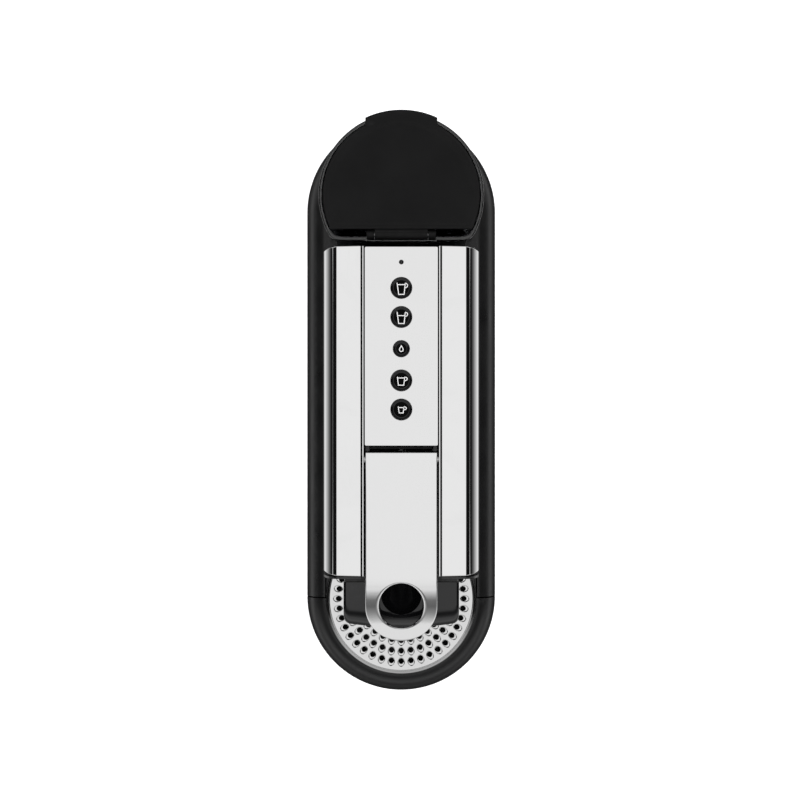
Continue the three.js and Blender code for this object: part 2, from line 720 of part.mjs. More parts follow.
// The guide that the cage slides in: two side plates, joined at the back.
function brewFrame() {
  const outer = frameInner + FRAME_WALL;
  const low = brewZ - 20;
  const high = idlerZ + 8;
  const block = box([-outer, podFront - OUTLET_LENGTH, low], [outer, frameRear, high]);
  const inside = box(
    [-frameInner, podFront - OUTLET_LENGTH - 1, low - 1],
    [frameInner, frameRear - FRAME_WALL, high + 1],
  );
  const journalBore = cylinderX(JOURNAL_RADIUS + GAP, -outer - 1, outer + 1, 16);
  const journalHole = journalBore.translate([0, pivotY, idlerZ]);
  const injectorHole = cylinderY(INJECTOR_RADIUS + GAP, frameRear - 2 * FRAME_WALL, frameRear + 1, 16);
  return block
    .subtract(inside)
    .subtract(journalHole)
    .subtract(injectorHole.translate([0, 0, brewZ]));
}

// The pierced plate that the pod is pressed against. The coffee leaves by the low bore.
function outletBlock() {
  const half = frameInner - GAP;
  const rear = podFront - GAP;
  const front = podFront - OUTLET_LENGTH;
  const block = box([-half, front, brewZ - CAGE_RADIUS], [half, rear, brewZ + 20]);
  const basin = box([-10, front + 3, channelZ - 2.5], [10, rear - 2, brewZ + 9]);
  const out = cylinderY(CHANNEL_RADIUS + GAP, front - 1, front + 4, 16).translate([0, 0, channelZ]);
  let cut = basin.add(out);
  for (const [x, z] of [[-7, 0], [0, 6], [7, 0], [0, -6], [0, 0]]) {
    cut = cut.add(cylinderY(1.5, rear - 3, rear + 1, 8).translate([x, 0, brewZ + z]));
  }
  return block.subtract(cut);
}

// The tube that leads the coffee from the outlet block forward to the spout.
function coffeeChannel() {
  const front = spoutY + 4.6;
  const rear = podFront - OUTLET_LENGTH + 2;
  const bore = cylinderY(CHANNEL_RADIUS - 1.2, front - 1, rear + 1, 16);
  return cylinderY(CHANNEL_RADIUS, front, rear, 16).subtract(bore);
}

// The cup that holds the pod, its mouth towards -Y, with a rack along either side.
function podCage() {
  const mouth = podFront + GAP;
  const floor = cageRear - CAGE_BACK;
  const cup = cylinderY(CAGE_RADIUS, mouth, cageRear, 32);
  const bore = cylinderY(CAGE_BORE, mouth - 1, floor, 32).add(cylinderY(20.1, mouth - 1, mouth + 2, 32));
  const injectorHole = cylinderY(INJECTOR_RADIUS + GAP, floor - 1, cageRear + 1, 16);
  const outline = rackOutline(rackFront - pivotY, rackRear - pivotY, 10);
  const bar = alongX(outline, gearInner - 0.2, gearOuter + 0.6).translate([0, pivotY, rackZ - brewZ]);
  return cup
    .add(bar)
    .add(bar.mirror([1, 0, 0]))
    .subtract(bore)
    .subtract(injectorHole)
    .translate([0, 0, brewZ]);
}

function cageSeal() {
  const low = podFront + GAP + 0.2;
  const opening = cylinderY(18, low - 1, low + 3, 32);
  return cylinderY(19.8, low, low + 1.5, 32).subtract(opening).translate([0, 0, brewZ]);
}

// The fixed tube that water comes in by. The cage slides along it, so that it also pushes the used pod out.
function injector() {
  const front = cageRear - CAGE_BACK + 0.5;
  const profile = [
    [1.2, 0],
    [INJECTOR_RADIUS - 1, 0],
    [INJECTOR_RADIUS, 1.5],
    [INJECTOR_RADIUS, frameRear - front + GAP],
    [INJECTOR_RADIUS + 1.6, frameRear - front + GAP],
    [INJECTOR_RADIUS + 1.6, frameRear - front + 2],
    [INJECTOR_RADIUS, frameRear - front + 2],
    [INJECTOR_RADIUS, frameRear - front + 9],
    [1.2, frameRear - front + 9],
    [1.2, 0],
  ];
  return turned(profile, 16).rotate([-90, 0, 0]).translate([0, front, brewZ]);
}

// A small wheel on a short journal, which reaches out through the frame's side. side is 1 or -1.
function idler(side) {
  const wheel = alongX(wheelTeeth(IDLER_TEETH, 90, IDLER_TEETH), gearInner, gearOuter);
  const right = wheel.add(cylinderX(JOURNAL_RADIUS, gearOuter - 1, frameInner + FRAME_WALL + 1, 16));
  return side > 0 ? right : right.mirror([1, 0, 0]);
}

// ---------------------------------------------------------------- pump room

const pumpX = -21;
const pumpY = (roomFront + roomRear) / 2 + 14;
const pumpLow = chassisBottom + WALL + 16;
const coilLow = pumpLow + 26;
const pumpTop = pumpLow + PUMP_LENGTH;
const heaterX = 21;
const heaterY = pumpY - 8;
const heaterLow = chassisBottom + WALL + 34;
const heaterTop = heaterLow + HEATER_SIZE[2];
const meterY = bulkhead + 40;
const meterLow = BASE_HEIGHT - 32;

function pumpBody() {
  return turned(
    [
      [0, 0],
      [4, 0],
      [4, 8],
      [PUMP_RADIUS - 3, 8],
      [PUMP_RADIUS - 3, PUMP_LENGTH - 14],
      [7, PUMP_LENGTH - 10],
      [7, PUMP_LENGTH - 2],
      [4, PUMP_LENGTH],
      [0, PUMP_LENGTH],
    ],
    20,
  );
}

function pumpCoil() {
  const half = COIL_SIZE / 2;
  const bore = cylinder(PUMP_RADIUS - 3 + GAP, -1, COIL_HEIGHT + 1, 20);
  return box([-half, -half, 0], [half, half, COIL_HEIGHT]).subtract(bore);
}

// A rubber collar round one end of the pump.
function pumpMount() {
  return cylinder(PUMP_RADIUS + 1, 0, 7, 20).subtract(cylinder(PUMP_RADIUS - 3 + GAP, -1, 8, 20));
}

// The cast heater, with its two terminals.
function heater() {
  const [w, d, h] = HEATER_SIZE;
  const cast = box([-w / 2, -d / 2, 0], [w / 2, d / 2, h]);
  const ribs = [0.25, 0.5, 0.75].map((share) =>
    box([-w / 2 - 1.5, -d / 2 + 4, h * share - 3], [w / 2, d / 2 - 4, h * share + 3]),
  );
  const terminals = [-15, 15].map((y) => cylinder(3, h - 1, h + 8, 10).translate([-8, y, 0]));
  return [...ribs, ...terminals].reduce((all, next) => all.add(next), cast);
}

function powerBoard() {
  const board = box([0, -34, 0], [1.6, 34, 66]);
  const parts = [
    box([1, -28, 8], [13, -8, 26]),
    box([1, 2, 10], [9, 26, 20]),
    box([1, -26, 36], [7, -12, 58]),
    cylinderX(5, 1, 14, 12).translate([0, 14, 46]),
  ];
  return parts.reduce((all, next) => all.add(next), board);
}

function flowMeter() {
  const drum = cylinder(METER_RADIUS, 0, METER_HEIGHT, 24);
  return drum.add(cylinder(3, METER_HEIGHT - 1, METER_HEIGHT + 6, 12).translate([-7, 0, 0]));
}

// ---------------------------------------------------------------- tank, in a frame on the base's deck

const tankTop = BODY_TOP - TANK_TOP_DROP - BASE_HEIGHT; // rim above the deck
const tankBottom = 2;
const tankFloorTop = tankBottom + TANK_FLOOR;
const hingeY = -TANK_CHORD + LID_HINGE_INSET;
const hingeZ = tankTop - 2;

// The D-shaped block of a radius, cut off flat at the front.
function tankBlock(radius, chord, low, high) {
  const start = THREE.MathUtils.radToDeg(Math.asin(chord / radius));
  return alongZ(arc(0, 0, radius, radius, -start, 180 + start, 44), low, high);
}

function waterTank() {
  const lugReach = LID_BARREL_LENGTH / 2 + 1;
  const lugs = [-1, 1].map((side) => {
    const inner = side > 0 ? lugReach : -lugReach - LID_LUG_WIDTH;
    const front = -TANK_CHORD;
    const outer = inner + LID_LUG_WIDTH;
    const foot = box([inner, front, tankTop - 14], [outer, hingeY + LID_BARREL_RADIUS, hingeZ]);
    return foot.add(cylinderX(LID_BARREL_RADIUS, inner, outer, 16).translate([0, hingeY, hingeZ]));
  });
  const notchHalf = lugReach + LID_LUG_WIDTH;
  const notch = box(
    [-notchHalf, -TANK_CHORD - 1, hingeZ - LID_BARREL_RADIUS - CLEAR],
    [notchHalf, -TANK_CHORD + WALL + 4, tankTop + 1],
  );
  const pinHole = cylinderX(LID_PIN_RADIUS + GAP, -notchHalf - 1, notchHalf + 1, 12);
  return tankBlock(TANK_RADIUS, TANK_CHORD, tankBottom, tankTop)
    .subtract(tankBlock(TANK_RADIUS - WALL, TANK_CHORD - WALL, tankFloorTop, tankTop + 1))
    .subtract(notch)
    .add(lugs[0])
    .add(lugs[1])
    .subtract(pinHole.translate([0, hingeY, hingeZ]))
    .subtract(cylinder(VALVE_RADIUS - 2.5, 0, tankFloorTop + 1, 20));
}

// The lid, in a frame on its hinge: a plate, a barrel between the tank's lugs and a tab at the back.
function tankLid() {
  const radius = TANK_RADIUS - WALL - GAP;
  const chord = TANK_CHORD - WALL - LID_BARREL_RADIUS - LID_FRONT_GAP;
  const lidTop = tankTop + 0.6;
  const plate = tankBlock(radius, chord, lidTop - LID_THICKNESS, lidTop);
  const barrel = cylinderX(LID_BARREL_RADIUS, -LID_BARREL_LENGTH / 2, LID_BARREL_LENGTH / 2, 16);
  const neck = box(
    [-LID_BARREL_LENGTH / 2, 0, hingeZ - 0.4],
    [LID_BARREL_LENGTH / 2, -chord - hingeY + 1, lidTop],
  ).translate([0, hingeY, 0]);
  const half = LID_TAB_WIDTH / 2;
  const tab = cylinder(TANK_RADIUS + LID_TAB_PROUD, tankTop + GAP, lidTop + 1.4, 64)
    .subtract(cylinder(TANK_RADIUS - 9, 0, tankTop * 2, 64))
    .intersect(box([-half, 20, 0], [half, 2 * TANK_RADIUS, tankTop * 2]));
  return plate
    .add(tab)
    .add(neck)
    .translate([0, -hingeY, -hingeZ])
    .add(barrel)
    .subtract(cylinderX(LID_PIN_RADIUS + GAP, -LID_BARREL_LENGTH, LID_BARREL_LENGTH, 12));
}

// The check valve: a plunger that closes the hole in the tank's floor and lifts off it.
function tankValve() {
  const seat = tankFloorTop + GAP;
  const foot = VALVE_RADIUS - 3;
  const profile = [
    [0, tankBottom + 1],
    [foot, tankBottom + 1],
    [foot, seat],
    [VALVE_RADIUS, seat],
    [VALVE_RADIUS, seat + 2],
    [VALVE_STEM_RADIUS, seat + 2],
    [VALVE_STEM_RADIUS, seat + VALVE_GUIDE_HEIGHT - VALVE_LIFT],
    [0, seat + VALVE_GUIDE_HEIGHT - VALVE_LIFT],
  ];
  return turned(profile, 20);
}

// The windowed cap over the valve. It guides the stem, and the spring bears on its underside.
function valveGuide() {
  const low = tankFloorTop + GAP;
  const top = low + VALVE_GUIDE_HEIGHT;
  const radius = VALVE_RADIUS + 3.5;
  const bore = VALVE_STEM_RADIUS + GAP;
  const profile = [
    [radius - 1.5, low],
    [radius, low],
    [radius, top],
    [bore, top],
    [bore, top - 1.5],
    [radius - 1.5, top - 1.5],
    [radius - 1.5, low],
  ];
  const window = box([-radius - 1, -4, low + 2], [radius + 1, 4, top - 3]);
  return turned(profile, 24).subtract(window).subtract(window.rotate([0, 0, 90]));
}

function valveSpring() {
  const turns = 4;
  const low = tankFloorTop + GAP + 2.8;
  const length = VALVE_GUIDE_HEIGHT - 5.2;
  const points = [];
  for (let i = 0; i <= turns * 8; i++) {
    const angle = (i * Math.PI) / 4;
    points.push([3.2 * Math.cos(angle), 3.2 * Math.sin(angle), low + (length * i) / (turns * 8)]);
  }
  const path = new THREE.CatmullRomCurve3(points.map((p) => new THREE.Vector3(...p)));
  const wire = new THREE.Shape().absarc(0, 0, 0.4, 0, 2 * Math.PI);
  return solid(new THREE.ExtrudeGeometry(wire, { extrudePath: path, steps: turns * 10, curveSegments: 2 }));
}

// The socket in the base's deck that the tank is set down on.
function tankConnector() {
  const rim = CONNECTOR_RADIUS;
  return turned(
    [
      [2.5, -14],
      [4.2, -14],
      [4.2, -8],
      [rim, -8],
      [rim, 0],
      [rim - 2, 1.6],
      [2.5, 1.6],
      [2.5, -14],
    ],
    20,
  );
}

// ---------------------------------------------------------------- drip unit, in a frame on the tray's centre

const tongueTop = floorTop + GAP + 3;
const binLow = tongueTop + GAP;
const binFront = columnFront - trayY + 1;
const binRear = bayRear - trayY - BIN_REAR_GAP;
const binHalf = bayHalf - 1;

// The round front end, a tub with a floor that runs back under the pod bin.
function dripTub() {
  const skirt = grilleRadius - 0.2; // the tub slides between the base's two arms
  const frontHalf = turned(baseProfile(), 48).intersect(
    box([-baseRadius - 1, -baseRadius - 1, 0], [baseRadius + 1, -CLEAR / 2, BASE_HEIGHT + 1]),
  );
  const seat = BASE_HEIGHT - 2;
  const rear = troughRear - trayY - CLEAR;
  const insert = box([-skirt, -CLEAR, floorTop + GAP], [skirt, rear, seat]);
  const tongue = box([-binHalf, rear - 1, floorTop + GAP], [binHalf, binRear, tongueTop]);
  const bowl = cylinder(grilleRadius - 3.4, floorTop + GAP + WALL, BASE_HEIGHT + 1, 48);
  const recess = cylinder(grilleRadius + CLEAR, seat, BASE_HEIGHT + 1, 48);
  return frontHalf.add(insert).add(tongue).subtract(bowl).subtract(recess);
}

// The cup grille: a shallow cap with rings of holes, six more in each ring than in the one inside it.
function cupGrille() {
  const low = BASE_HEIGHT - 2 + GAP;
  const top = BASE_HEIGHT + GRILLE_RISE;
  const flat = grilleRadius - GRILLE_SKIRT;
  const cap = turned(
    [
      [0, top - GRILLE_THICKNESS],
      [flat - 1, top - GRILLE_THICKNESS],
      [grilleRadius - WALL, low],
      [grilleRadius, low],
      [grilleRadius, low + 1],
      [flat, top],
      [0, top],
    ],
    56,
  );
  const holes = [];
  for (let ring = 1; ring <= GRILLE_RINGS; ring++) {
    const radius = ring * GRILLE_PITCH + 1.1;
    const count = 6 * ring + 4;
    for (let i = 0; i < count; i++) {
      const angle = (2 * Math.PI * i) / count - Math.PI / 2;
      const hole = cylinder(GRILLE_HOLE_RADIUS, top - GRILLE_THICKNESS - 1, top + 1, 6);
      holes.push(hole.translate([radius * Math.cos(angle), radius * Math.sin(angle), 0]));
    }
  }
  return cap.subtract(wasm.Manifold.union(holes));
}

// The used-pod bin: an open box whose tall front wall closes the column.
function podBin() {
  const rear = binRear - 2;
  const tall = headUnder - COVER_INSTEP_RADIUS - 2;
  const high = binLow + BIN_SIDE_HEIGHT;
  const outer = box([-binHalf, binFront, binLow], [binHalf, rear, high]);
  const inner = box(
    [-binHalf + BIN_WALL, binFront + BIN_WALL, binLow + BIN_WALL],
    [binHalf - BIN_WALL, rear - BIN_WALL, high + 1],
  );
  const frontWall = box([-binHalf, binFront, high - 1], [binHalf, binFront + BIN_WALL, tall]);
  return outer.subtract(inner).add(frontWall);
}

// ---------------------------------------------------------------- assembly

const machine = new THREE.Group();

function group(x, y, z, ...meshes) {
  const made = new THREE.Group();
  made.position.set(x, y, z);
  made.add(...meshes);
  machine.add(made);
  return made;
}

function at(mesh, x, y, z) {
  mesh.position.set(x, y, z);
  return mesh;
}

// Base
const plateScrews = [
  [-44, bulkhead + 12],
  [44, bulkhead + 12],
  [-30, rearY + 42],
  [30, rearY + 42],
];
const footPlaces = {
  foot_front_left: [-44, trayY + 22],
  foot_front_right: [44, trayY + 22],
  foot_rear_left: [-40, rearY + 14],
  foot_rear_right: [40, rearY + 14],
};
machine.add(
  piece("base_housing", baseHousing(), blackPlastic),
  piece("base_plate", basePlate(plateScrews), blackPlastic),
  at(piece("cord_gland", cordGland(), rubber), GLAND_X, rearY + glandY, GLAND_Z),
  at(piece("tank_connector", tankConnector(), blackPlastic), 0, tankY, BASE_HEIGHT - 1),
);
for (const [name, [x, y]] of Object.entries(footPlaces)) {
  machine.add(at(piece(name, foot(), rubber), x, y, 0));
}
plateScrews.forEach(([x, y], i) => {
  machine.add(at(piece(`plate_screw_${i + 1}`, screw(9), steel), x, y, FOOT_HEIGHT));
});

// Body
machine.add(
  piece("chassis", chassis(), blackPlastic),
  piece("side_cover_left", sideCover(-1), chrome),
  piece("side_cover_right", sideCover(1), chrome),
  at(piece("rail_left", rail(), chrome), -railOuter, 0, 0),
  at(piece("rail_right", rail(), chrome), railInner, 0, 0),
  piece("front_fascia", fascia(), blackPlastic),
  piece("nose", nose(), glossBlack),
  at(piece("coffee_spout", spout(), blackPlastic), 0, spoutY, noseTop - NOSE_HEIGHT),
);

// Control panel
const controlBoard = board(boardFront, panelRear - 2, BOARD_THICKNESS);
const keypadMat = board(boardFront, panelRear - 16, KEYPAD_THICKNESS);
const lightPipe = cylinder(STATUS_LIGHT_RADIUS, boardTop + GAP - BODY_TOP, 0.1, 12);
machine.add(
  piece("control_panel", controlPanel(), satinMetal),
  at(piece("control_board", controlBoard, circuitBoard), 0, 0, deckTop + GAP),
  at(piece("keypad_mat", keypadMat, silicone), 0, 0, boardTop + GAP),
  at(piece("status_light", lightPipe, whitePlastic), 0, statusLightY, BODY_TOP),
);
for (const { name, y, radius } of buttons) {
  machine.add(at(piece(name, button(radius), glossBlack), 0, y, BODY_TOP));
}

// Lever
group(0, pivotY, pivotZ, piece("lever", lever(), satinMetal));
const leverPin = cylinderX(LEVER_PIN_RADIUS, -railOuter, railOuter, 20);
machine.add(at(piece("lever_pin", leverPin, steel), 0, pivotY, pivotZ));

// Brew unit
machine.add(
  piece("brew_frame", brewFrame(), whitePlastic),
  piece("outlet_block", outletBlock(), whitePlastic),
  at(piece("coffee_channel", coffeeChannel(), silicone), 0, 0, channelZ),
  piece("pod_cage", podCage(), aluminium),
  piece("cage_seal", cageSeal(), silicone),
  piece("injector", injector(), steel),
  at(piece("idler_left", idler(-1), whitePlastic), 0, pivotY, idlerZ),
  at(piece("idler_right", idler(1), whitePlastic), 0, pivotY, idlerZ),
);

// Pump room
const mountLows = [pumpLow + 12, coilLow + COIL_HEIGHT + 1];
machine.add(
  at(piece("pump", pumpBody(), brass), pumpX, pumpY, pumpLow),
  at(piece("pump_coil", pumpCoil(), steel), pumpX, pumpY, coilLow),
  at(piece("pump_mount_lower", pumpMount(), rubber), pumpX, pumpY, mountLows[0]),
  at(piece("pump_mount_upper", pumpMount(), rubber), pumpX, pumpY, mountLows[1]),
  at(piece("heater_block", heater(), aluminium), heaterX, heaterY, heaterLow),
  at(piece("power_board", powerBoard(), circuitBoard), -roomHalf + 2, pumpY - 12, pumpTop + 10),
  at(piece("flow_meter", flowMeter(), whitePlastic), 12, meterY, meterLow),
);

// Hoses: tank to meter, meter to pump, pump to heater, heater to brew unit
const meterOut = [12 - 7, meterY, meterLow + METER_HEIGHT + 6];
const injectorRear = frameRear + 9;
const hoses = {
  hose_tank_to_meter: [
    [0, tankY, BASE_HEIGHT - 15.6],
    [0, tankY, BASE_HEIGHT - 20],
    [3, tankY - 10, BASE_HEIGHT - 26],
    [10, (tankY + meterY) / 2, BASE_HEIGHT - 26],
    [12, meterY + METER_RADIUS + 1, BASE_HEIGHT - 25],
  ],
  hose_meter_to_pump: [
    [meterOut[0], meterOut[1], meterOut[2] + 0.6],
    [meterOut[0], meterOut[1], meterOut[2] + 5],
    [(meterOut[0] + pumpX) / 2, (meterY + pumpY) / 2, pumpLow - 13],
    [pumpX, pumpY, pumpLow - 6],
    [pumpX, pumpY, pumpLow - 0.6],
  ],
  hose_pump_to_heater: [
    [pumpX, pumpY, pumpTop + 0.6],
    [pumpX, pumpY, pumpTop + 6],
    [pumpX + 8, pumpY - 1, pumpTop + 11],
    [heaterX - 13, heaterY + 5, heaterTop + 11],
    [heaterX - 1, heaterY + 6, heaterTop + 8],
    [heaterX, heaterY + 6, heaterTop + 1],
  ],
  hose_heater_to_brew: [
    [heaterX + 9, heaterY - 12, heaterTop + 1],
    [heaterX + 9, heaterY - 12, heaterTop + 10],
    [heaterX, heaterY - 16, brewZ - 10],
    [6, injectorRear + 12, brewZ - 1],
    [0, injectorRear + 5, brewZ],
    [0, injectorRear + 0.6, brewZ],
  ],
};
for (const [name, points] of Object.entries(hoses)) {
  machine.add(piece(name, hose(points, HOSE_RADIUS), silicone));
}

// Water tank and lid
const lidPinHalf = LID_BARREL_LENGTH / 2 + LID_LUG_WIDTH;
const lidPin = cylinderX(LID_PIN_RADIUS, -lidPinHalf, lidPinHalf, 12);
const tank = group(
  0,
  tankY,
  BASE_HEIGHT,
  piece("water_tank", waterTank(), smokedPlastic),
  piece("tank_valve", tankValve(), whitePlastic),
  piece("valve_guide", valveGuide(), whitePlastic),
  piece("valve_spring", valveSpring(), steel),
  at(piece("lid_pin", lidPin, steel), 0, hingeY, hingeZ),
);
tank.add(at(piece("tank_lid", tankLid(), blackPlastic), 0, hingeY, hingeZ));

// Drip unit
group(
  0,
  trayY,
  0,
  piece("drip_tub", dripTub(), blackPlastic),
  piece("cup_grille", cupGrille(), chrome),
  piece("pod_bin", podBin(), blackPlastic),
);

export default machine;
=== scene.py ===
# %% [markdown]
# # A pod coffee machine, piece by piece
#
# The machine is long and narrow: a black base with two round ends, a chromed body on it that reaches
# forward over the cup, a lever and five buttons on top, a water tank behind and a round cup grille in
# front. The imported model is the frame. Each cell below builds one piece round it, in millimetres, in
# the frame's own place, and lets the piece ride on the body that carries it.

# %% Load the frame
import math

import bmesh
import bpy
from mathutils import Matrix, Vector


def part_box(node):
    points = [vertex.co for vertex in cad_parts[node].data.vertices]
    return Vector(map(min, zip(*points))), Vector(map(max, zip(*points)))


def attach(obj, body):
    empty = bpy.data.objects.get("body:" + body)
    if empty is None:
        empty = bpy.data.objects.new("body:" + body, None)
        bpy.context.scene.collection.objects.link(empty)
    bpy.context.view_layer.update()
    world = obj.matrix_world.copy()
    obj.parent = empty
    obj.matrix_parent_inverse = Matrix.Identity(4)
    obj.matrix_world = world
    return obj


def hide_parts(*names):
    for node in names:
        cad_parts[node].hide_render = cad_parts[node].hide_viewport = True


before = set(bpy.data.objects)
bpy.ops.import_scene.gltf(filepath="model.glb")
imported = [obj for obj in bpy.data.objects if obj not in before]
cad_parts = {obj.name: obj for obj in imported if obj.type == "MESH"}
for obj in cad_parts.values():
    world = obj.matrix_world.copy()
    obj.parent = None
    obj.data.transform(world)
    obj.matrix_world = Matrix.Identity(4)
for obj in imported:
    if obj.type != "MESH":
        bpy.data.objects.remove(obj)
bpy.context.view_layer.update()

MM = 0.001

# %% [markdown]
# ## Measures
#
# Most measures come from the frame's own nodes, so that a finished piece always lies where its solid
# lies. Only what a box can't tell, such as a radius or the place of a seam, is written here in
# millimetres.

# %% Measures that several pieces share


def node_box(name):
    """The lowest and highest corner of a frame node, in millimetres."""
    low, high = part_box(name)
    return low / MM, high / MM


base_low, base_high = node_box("base_housing")
cover_low, cover_high = node_box("side_cover_right")
nose_low, nose_high = node_box("nose")
panel_low, panel_high = node_box("control_panel")
tub_low, tub_high = node_box("drip_tub")
BASE_RADIUS = base_high.x
TRAY_Y = tub_low.y + BASE_RADIUS
REAR_Y = base_high.y - BASE_RADIUS
BASE_TOP = base_high.z
BASE_UNDER = base_low.z
BODY_HALF = cover_high.x
BODY_TOP = cover_high.z
BODY_FRONT = cover_low.y
BODY_REAR = cover_high.y
PIVOT_Y, PIVOT_Z, PIN_BORE = -33.2, 266.7, 2.3
HEAD_UNDER = 188.0
COLUMN_FRONT = -78.0
print("base radius", round(BASE_RADIUS, 1), "body from", round(BODY_FRONT, 1), "to", round(BODY_REAR, 1))

# %% [markdown]
# ## The camera
#
# The machine is looked at from straight above, with its back at the top of the frame. A long lens from
# two metres up keeps the sides nearly upright, as in a catalogue. The lens is as long as it has to be
# for the machine to fill about three quarters of the frame's height.

# %% Set the camera
LENS_MM = 128.0
SENSOR_MM = 36.0
CAMERA_PLACE = (-0.0008, 0.003, 2.0)
camera_data = bpy.data.cameras.new("top_camera")
camera_data.lens = LENS_MM
camera_data.sensor_width = SENSOR_MM
camera = bpy.data.objects.new("top_camera", camera_data)
camera.location = CAMERA_PLACE
bpy.context.scene.collection.objects.link(camera)
bpy.context.scene.camera = camera
print("camera at", [round(v, 4) for v in camera.location], "with", LENS_MM, "mm")

# %% [markdown]
# ## The room
#
# Polished metal shows its room more than itself. A product studio hangs one big soft light overhead,
# keeps pale walls round the table, and stands a black flag on either side. The flat tops turn white and
# each rounded edge gets a crisp black line. Here the room is a world shader. Eyes and matt pieces see an
# even pale room. Shiny pieces see the bright ceiling patch, the walls and the two flags.

# %% Small helpers for node trees
scene = bpy.context.scene
scene.view_settings.view_transform = "Standard"


def add(tree, kind, **values):
    """A new shader node. Capitalised names are its sockets, the others are its settings."""
    node = tree.nodes.new("ShaderNode" + kind)
    for key, value in values.items():
        if key[0].isupper():
            node.inputs[key.replace("_", " ")].default_value = value
        else:
            setattr(node, key, value)
    return node


def wire(tree, *links):
    """Links sockets. Each link names a node and its output, then a node and its input."""
    for source, output, target, socket in links:
        tree.links.new(source.outputs[output], target.inputs[socket])


def ramp_of(tree, points):
    """A colour ramp with stops [(place, grey or colour), ...]."""
    ramp = add(tree, "ValToRGB")
    band = ramp.color_ramp
    while len(band.elements) > 1:
        band.elements.remove(band.elements[-1])
    band.elements[0].position = points[0][0]
    for place, _ in points[1:]:
        band.elements.new(place)
    for stop, (_, grey) in zip(band.elements, points):
        stop.color = (grey, grey, grey, 1) if isinstance(grey, (int, float)) else (*grey, 1)
    return ramp


def side_mask(tree, vector, near, far):
    """1 where the second coordinate of a vector is small, falling to 0 from near to far."""
    parts = add(tree, "SeparateXYZ")
    size = add(tree, "Math", operation="ABSOLUTE")
    mask = add(tree, "MapRange", From_Min=near, From_Max=far, To_Min=1.0, To_Max=0.0)
    tree.links.new(vector, parts.inputs[0])
    wire(tree, (parts, "Y", size, 0), (size, 0, mask, "Value"))
    return parts, mask.outputs[0]


# %% Build the room
FRONT_WALL = [(0.5, 0.85), (0.53, 0.85), (0.63, 0.85), (0.68, 0.6), (0.735, 0.4), (0.78, 0.27)]
FRONT_WALL += [(0.85, 0.13), (0.905, 0.17), (0.935, 0.4), (0.953, 0.62), (0.972, 0.88), (1.0, 0.93)]
REAR_WALL = [(0.5, 0.4), (0.53, 0.55), (0.75, 0.6), (0.93, 0.55), (0.965, 0.7), (0.98, 0.88), (1.0, 0.93)]
FLAGS = [(0.5, 0.05), (0.52, 0.006), (0.962, 0.006), (0.972, 0.4), (0.985, 0.86), (1.0, 0.93)]
world = bpy.data.worlds.new("studio")
scene.world = world
world.use_nodes = True
sky = world.node_tree
sky.nodes.clear()
direction = add(sky, "TexCoord")
parts, flag_mask = side_mask(sky, direction.outputs["Generated"], 0.16, 0.34)
height = add(sky, "MapRange", From_Min=-1.0, From_Max=1.0)
toward_rear = add(sky, "MapRange", From_Min=-0.08, From_Max=0.16)
front_wall = ramp_of(sky, FRONT_WALL)
rear_wall = ramp_of(sky, REAR_WALL)
flags = ramp_of(sky, FLAGS)
walls = add(sky, "Mix", data_type="RGBA")
both = add(sky, "Mix", data_type="RGBA")
rays = add(sky, "LightPath")
room = add(sky, "Background", Strength=1.0)
pale = add(sky, "Background", Color=(0.93, 0.935, 0.94, 1), Strength=1.0)
soft = add(sky, "Background", Color=(1, 1, 1, 1), Strength=0.4)
choose_gloss = add(sky, "MixShader")
choose_eye = add(sky, "MixShader")
room_out = add(sky, "OutputWorld")
wire(sky, (parts, "Z", height, "Value"), (parts, "Y", toward_rear, "Value"))
for ramp in (front_wall, rear_wall, flags):
    wire(sky, (height, 0, ramp, 0))
wire(sky, (toward_rear, 0, walls, "Factor"), (front_wall, 0, walls, 6), (rear_wall, 0, walls, 7))
sky.links.new(flag_mask, both.inputs["Factor"])
wire(
    sky,
    (walls, 2, both, 6), (flags, 0, both, 7), (both, 2, room, "Color"),
    (rays, "Is Glossy Ray", choose_gloss, 0), (soft, 0, choose_gloss, 1), (room, 0, choose_gloss, 2),
    (rays, "Is Camera Ray", choose_eye, 0), (choose_gloss, 0, choose_eye, 1), (pale, 0, choose_eye, 2),
    (choose_eye, 0, room_out, "Surface"),
)
print("the front wall has", len(FRONT_WALL), "bands and the flags", len(FLAGS))

# %% Hang the lights


def soft_light(name, place, target, size, power):
    """A soft light that looks at target. Only matt shading feels it: the room does the reflections."""
    data = bpy.data.lights.new(name, "AREA")
    data.shape = "RECTANGLE"
    data.size, data.size_y = size
    data.energy = power
    lamp = bpy.data.objects.new(name, data)
    lamp.location = place
    lamp.rotation_euler = (Vector(target) - Vector(place)).to_track_quat("-Z", "Y").to_euler()
    lamp.visible_glossy = False
    lamp.visible_camera = False
    scene.collection.objects.link(lamp)
    return lamp


soft_light("overhead", (0.1, 0.1, 2.6), (0, 0, 0), (2.2, 2.2), 40)
soft_light("front_fill", (-0.9, -1.9, 0.85), (0, 0, 0.15), (1.2, 0.8), 14)
soft_light("rear_fill", (1.2, 1.6, 0.9), (0, 0, 0.12), (0.9, 0.9), 8)
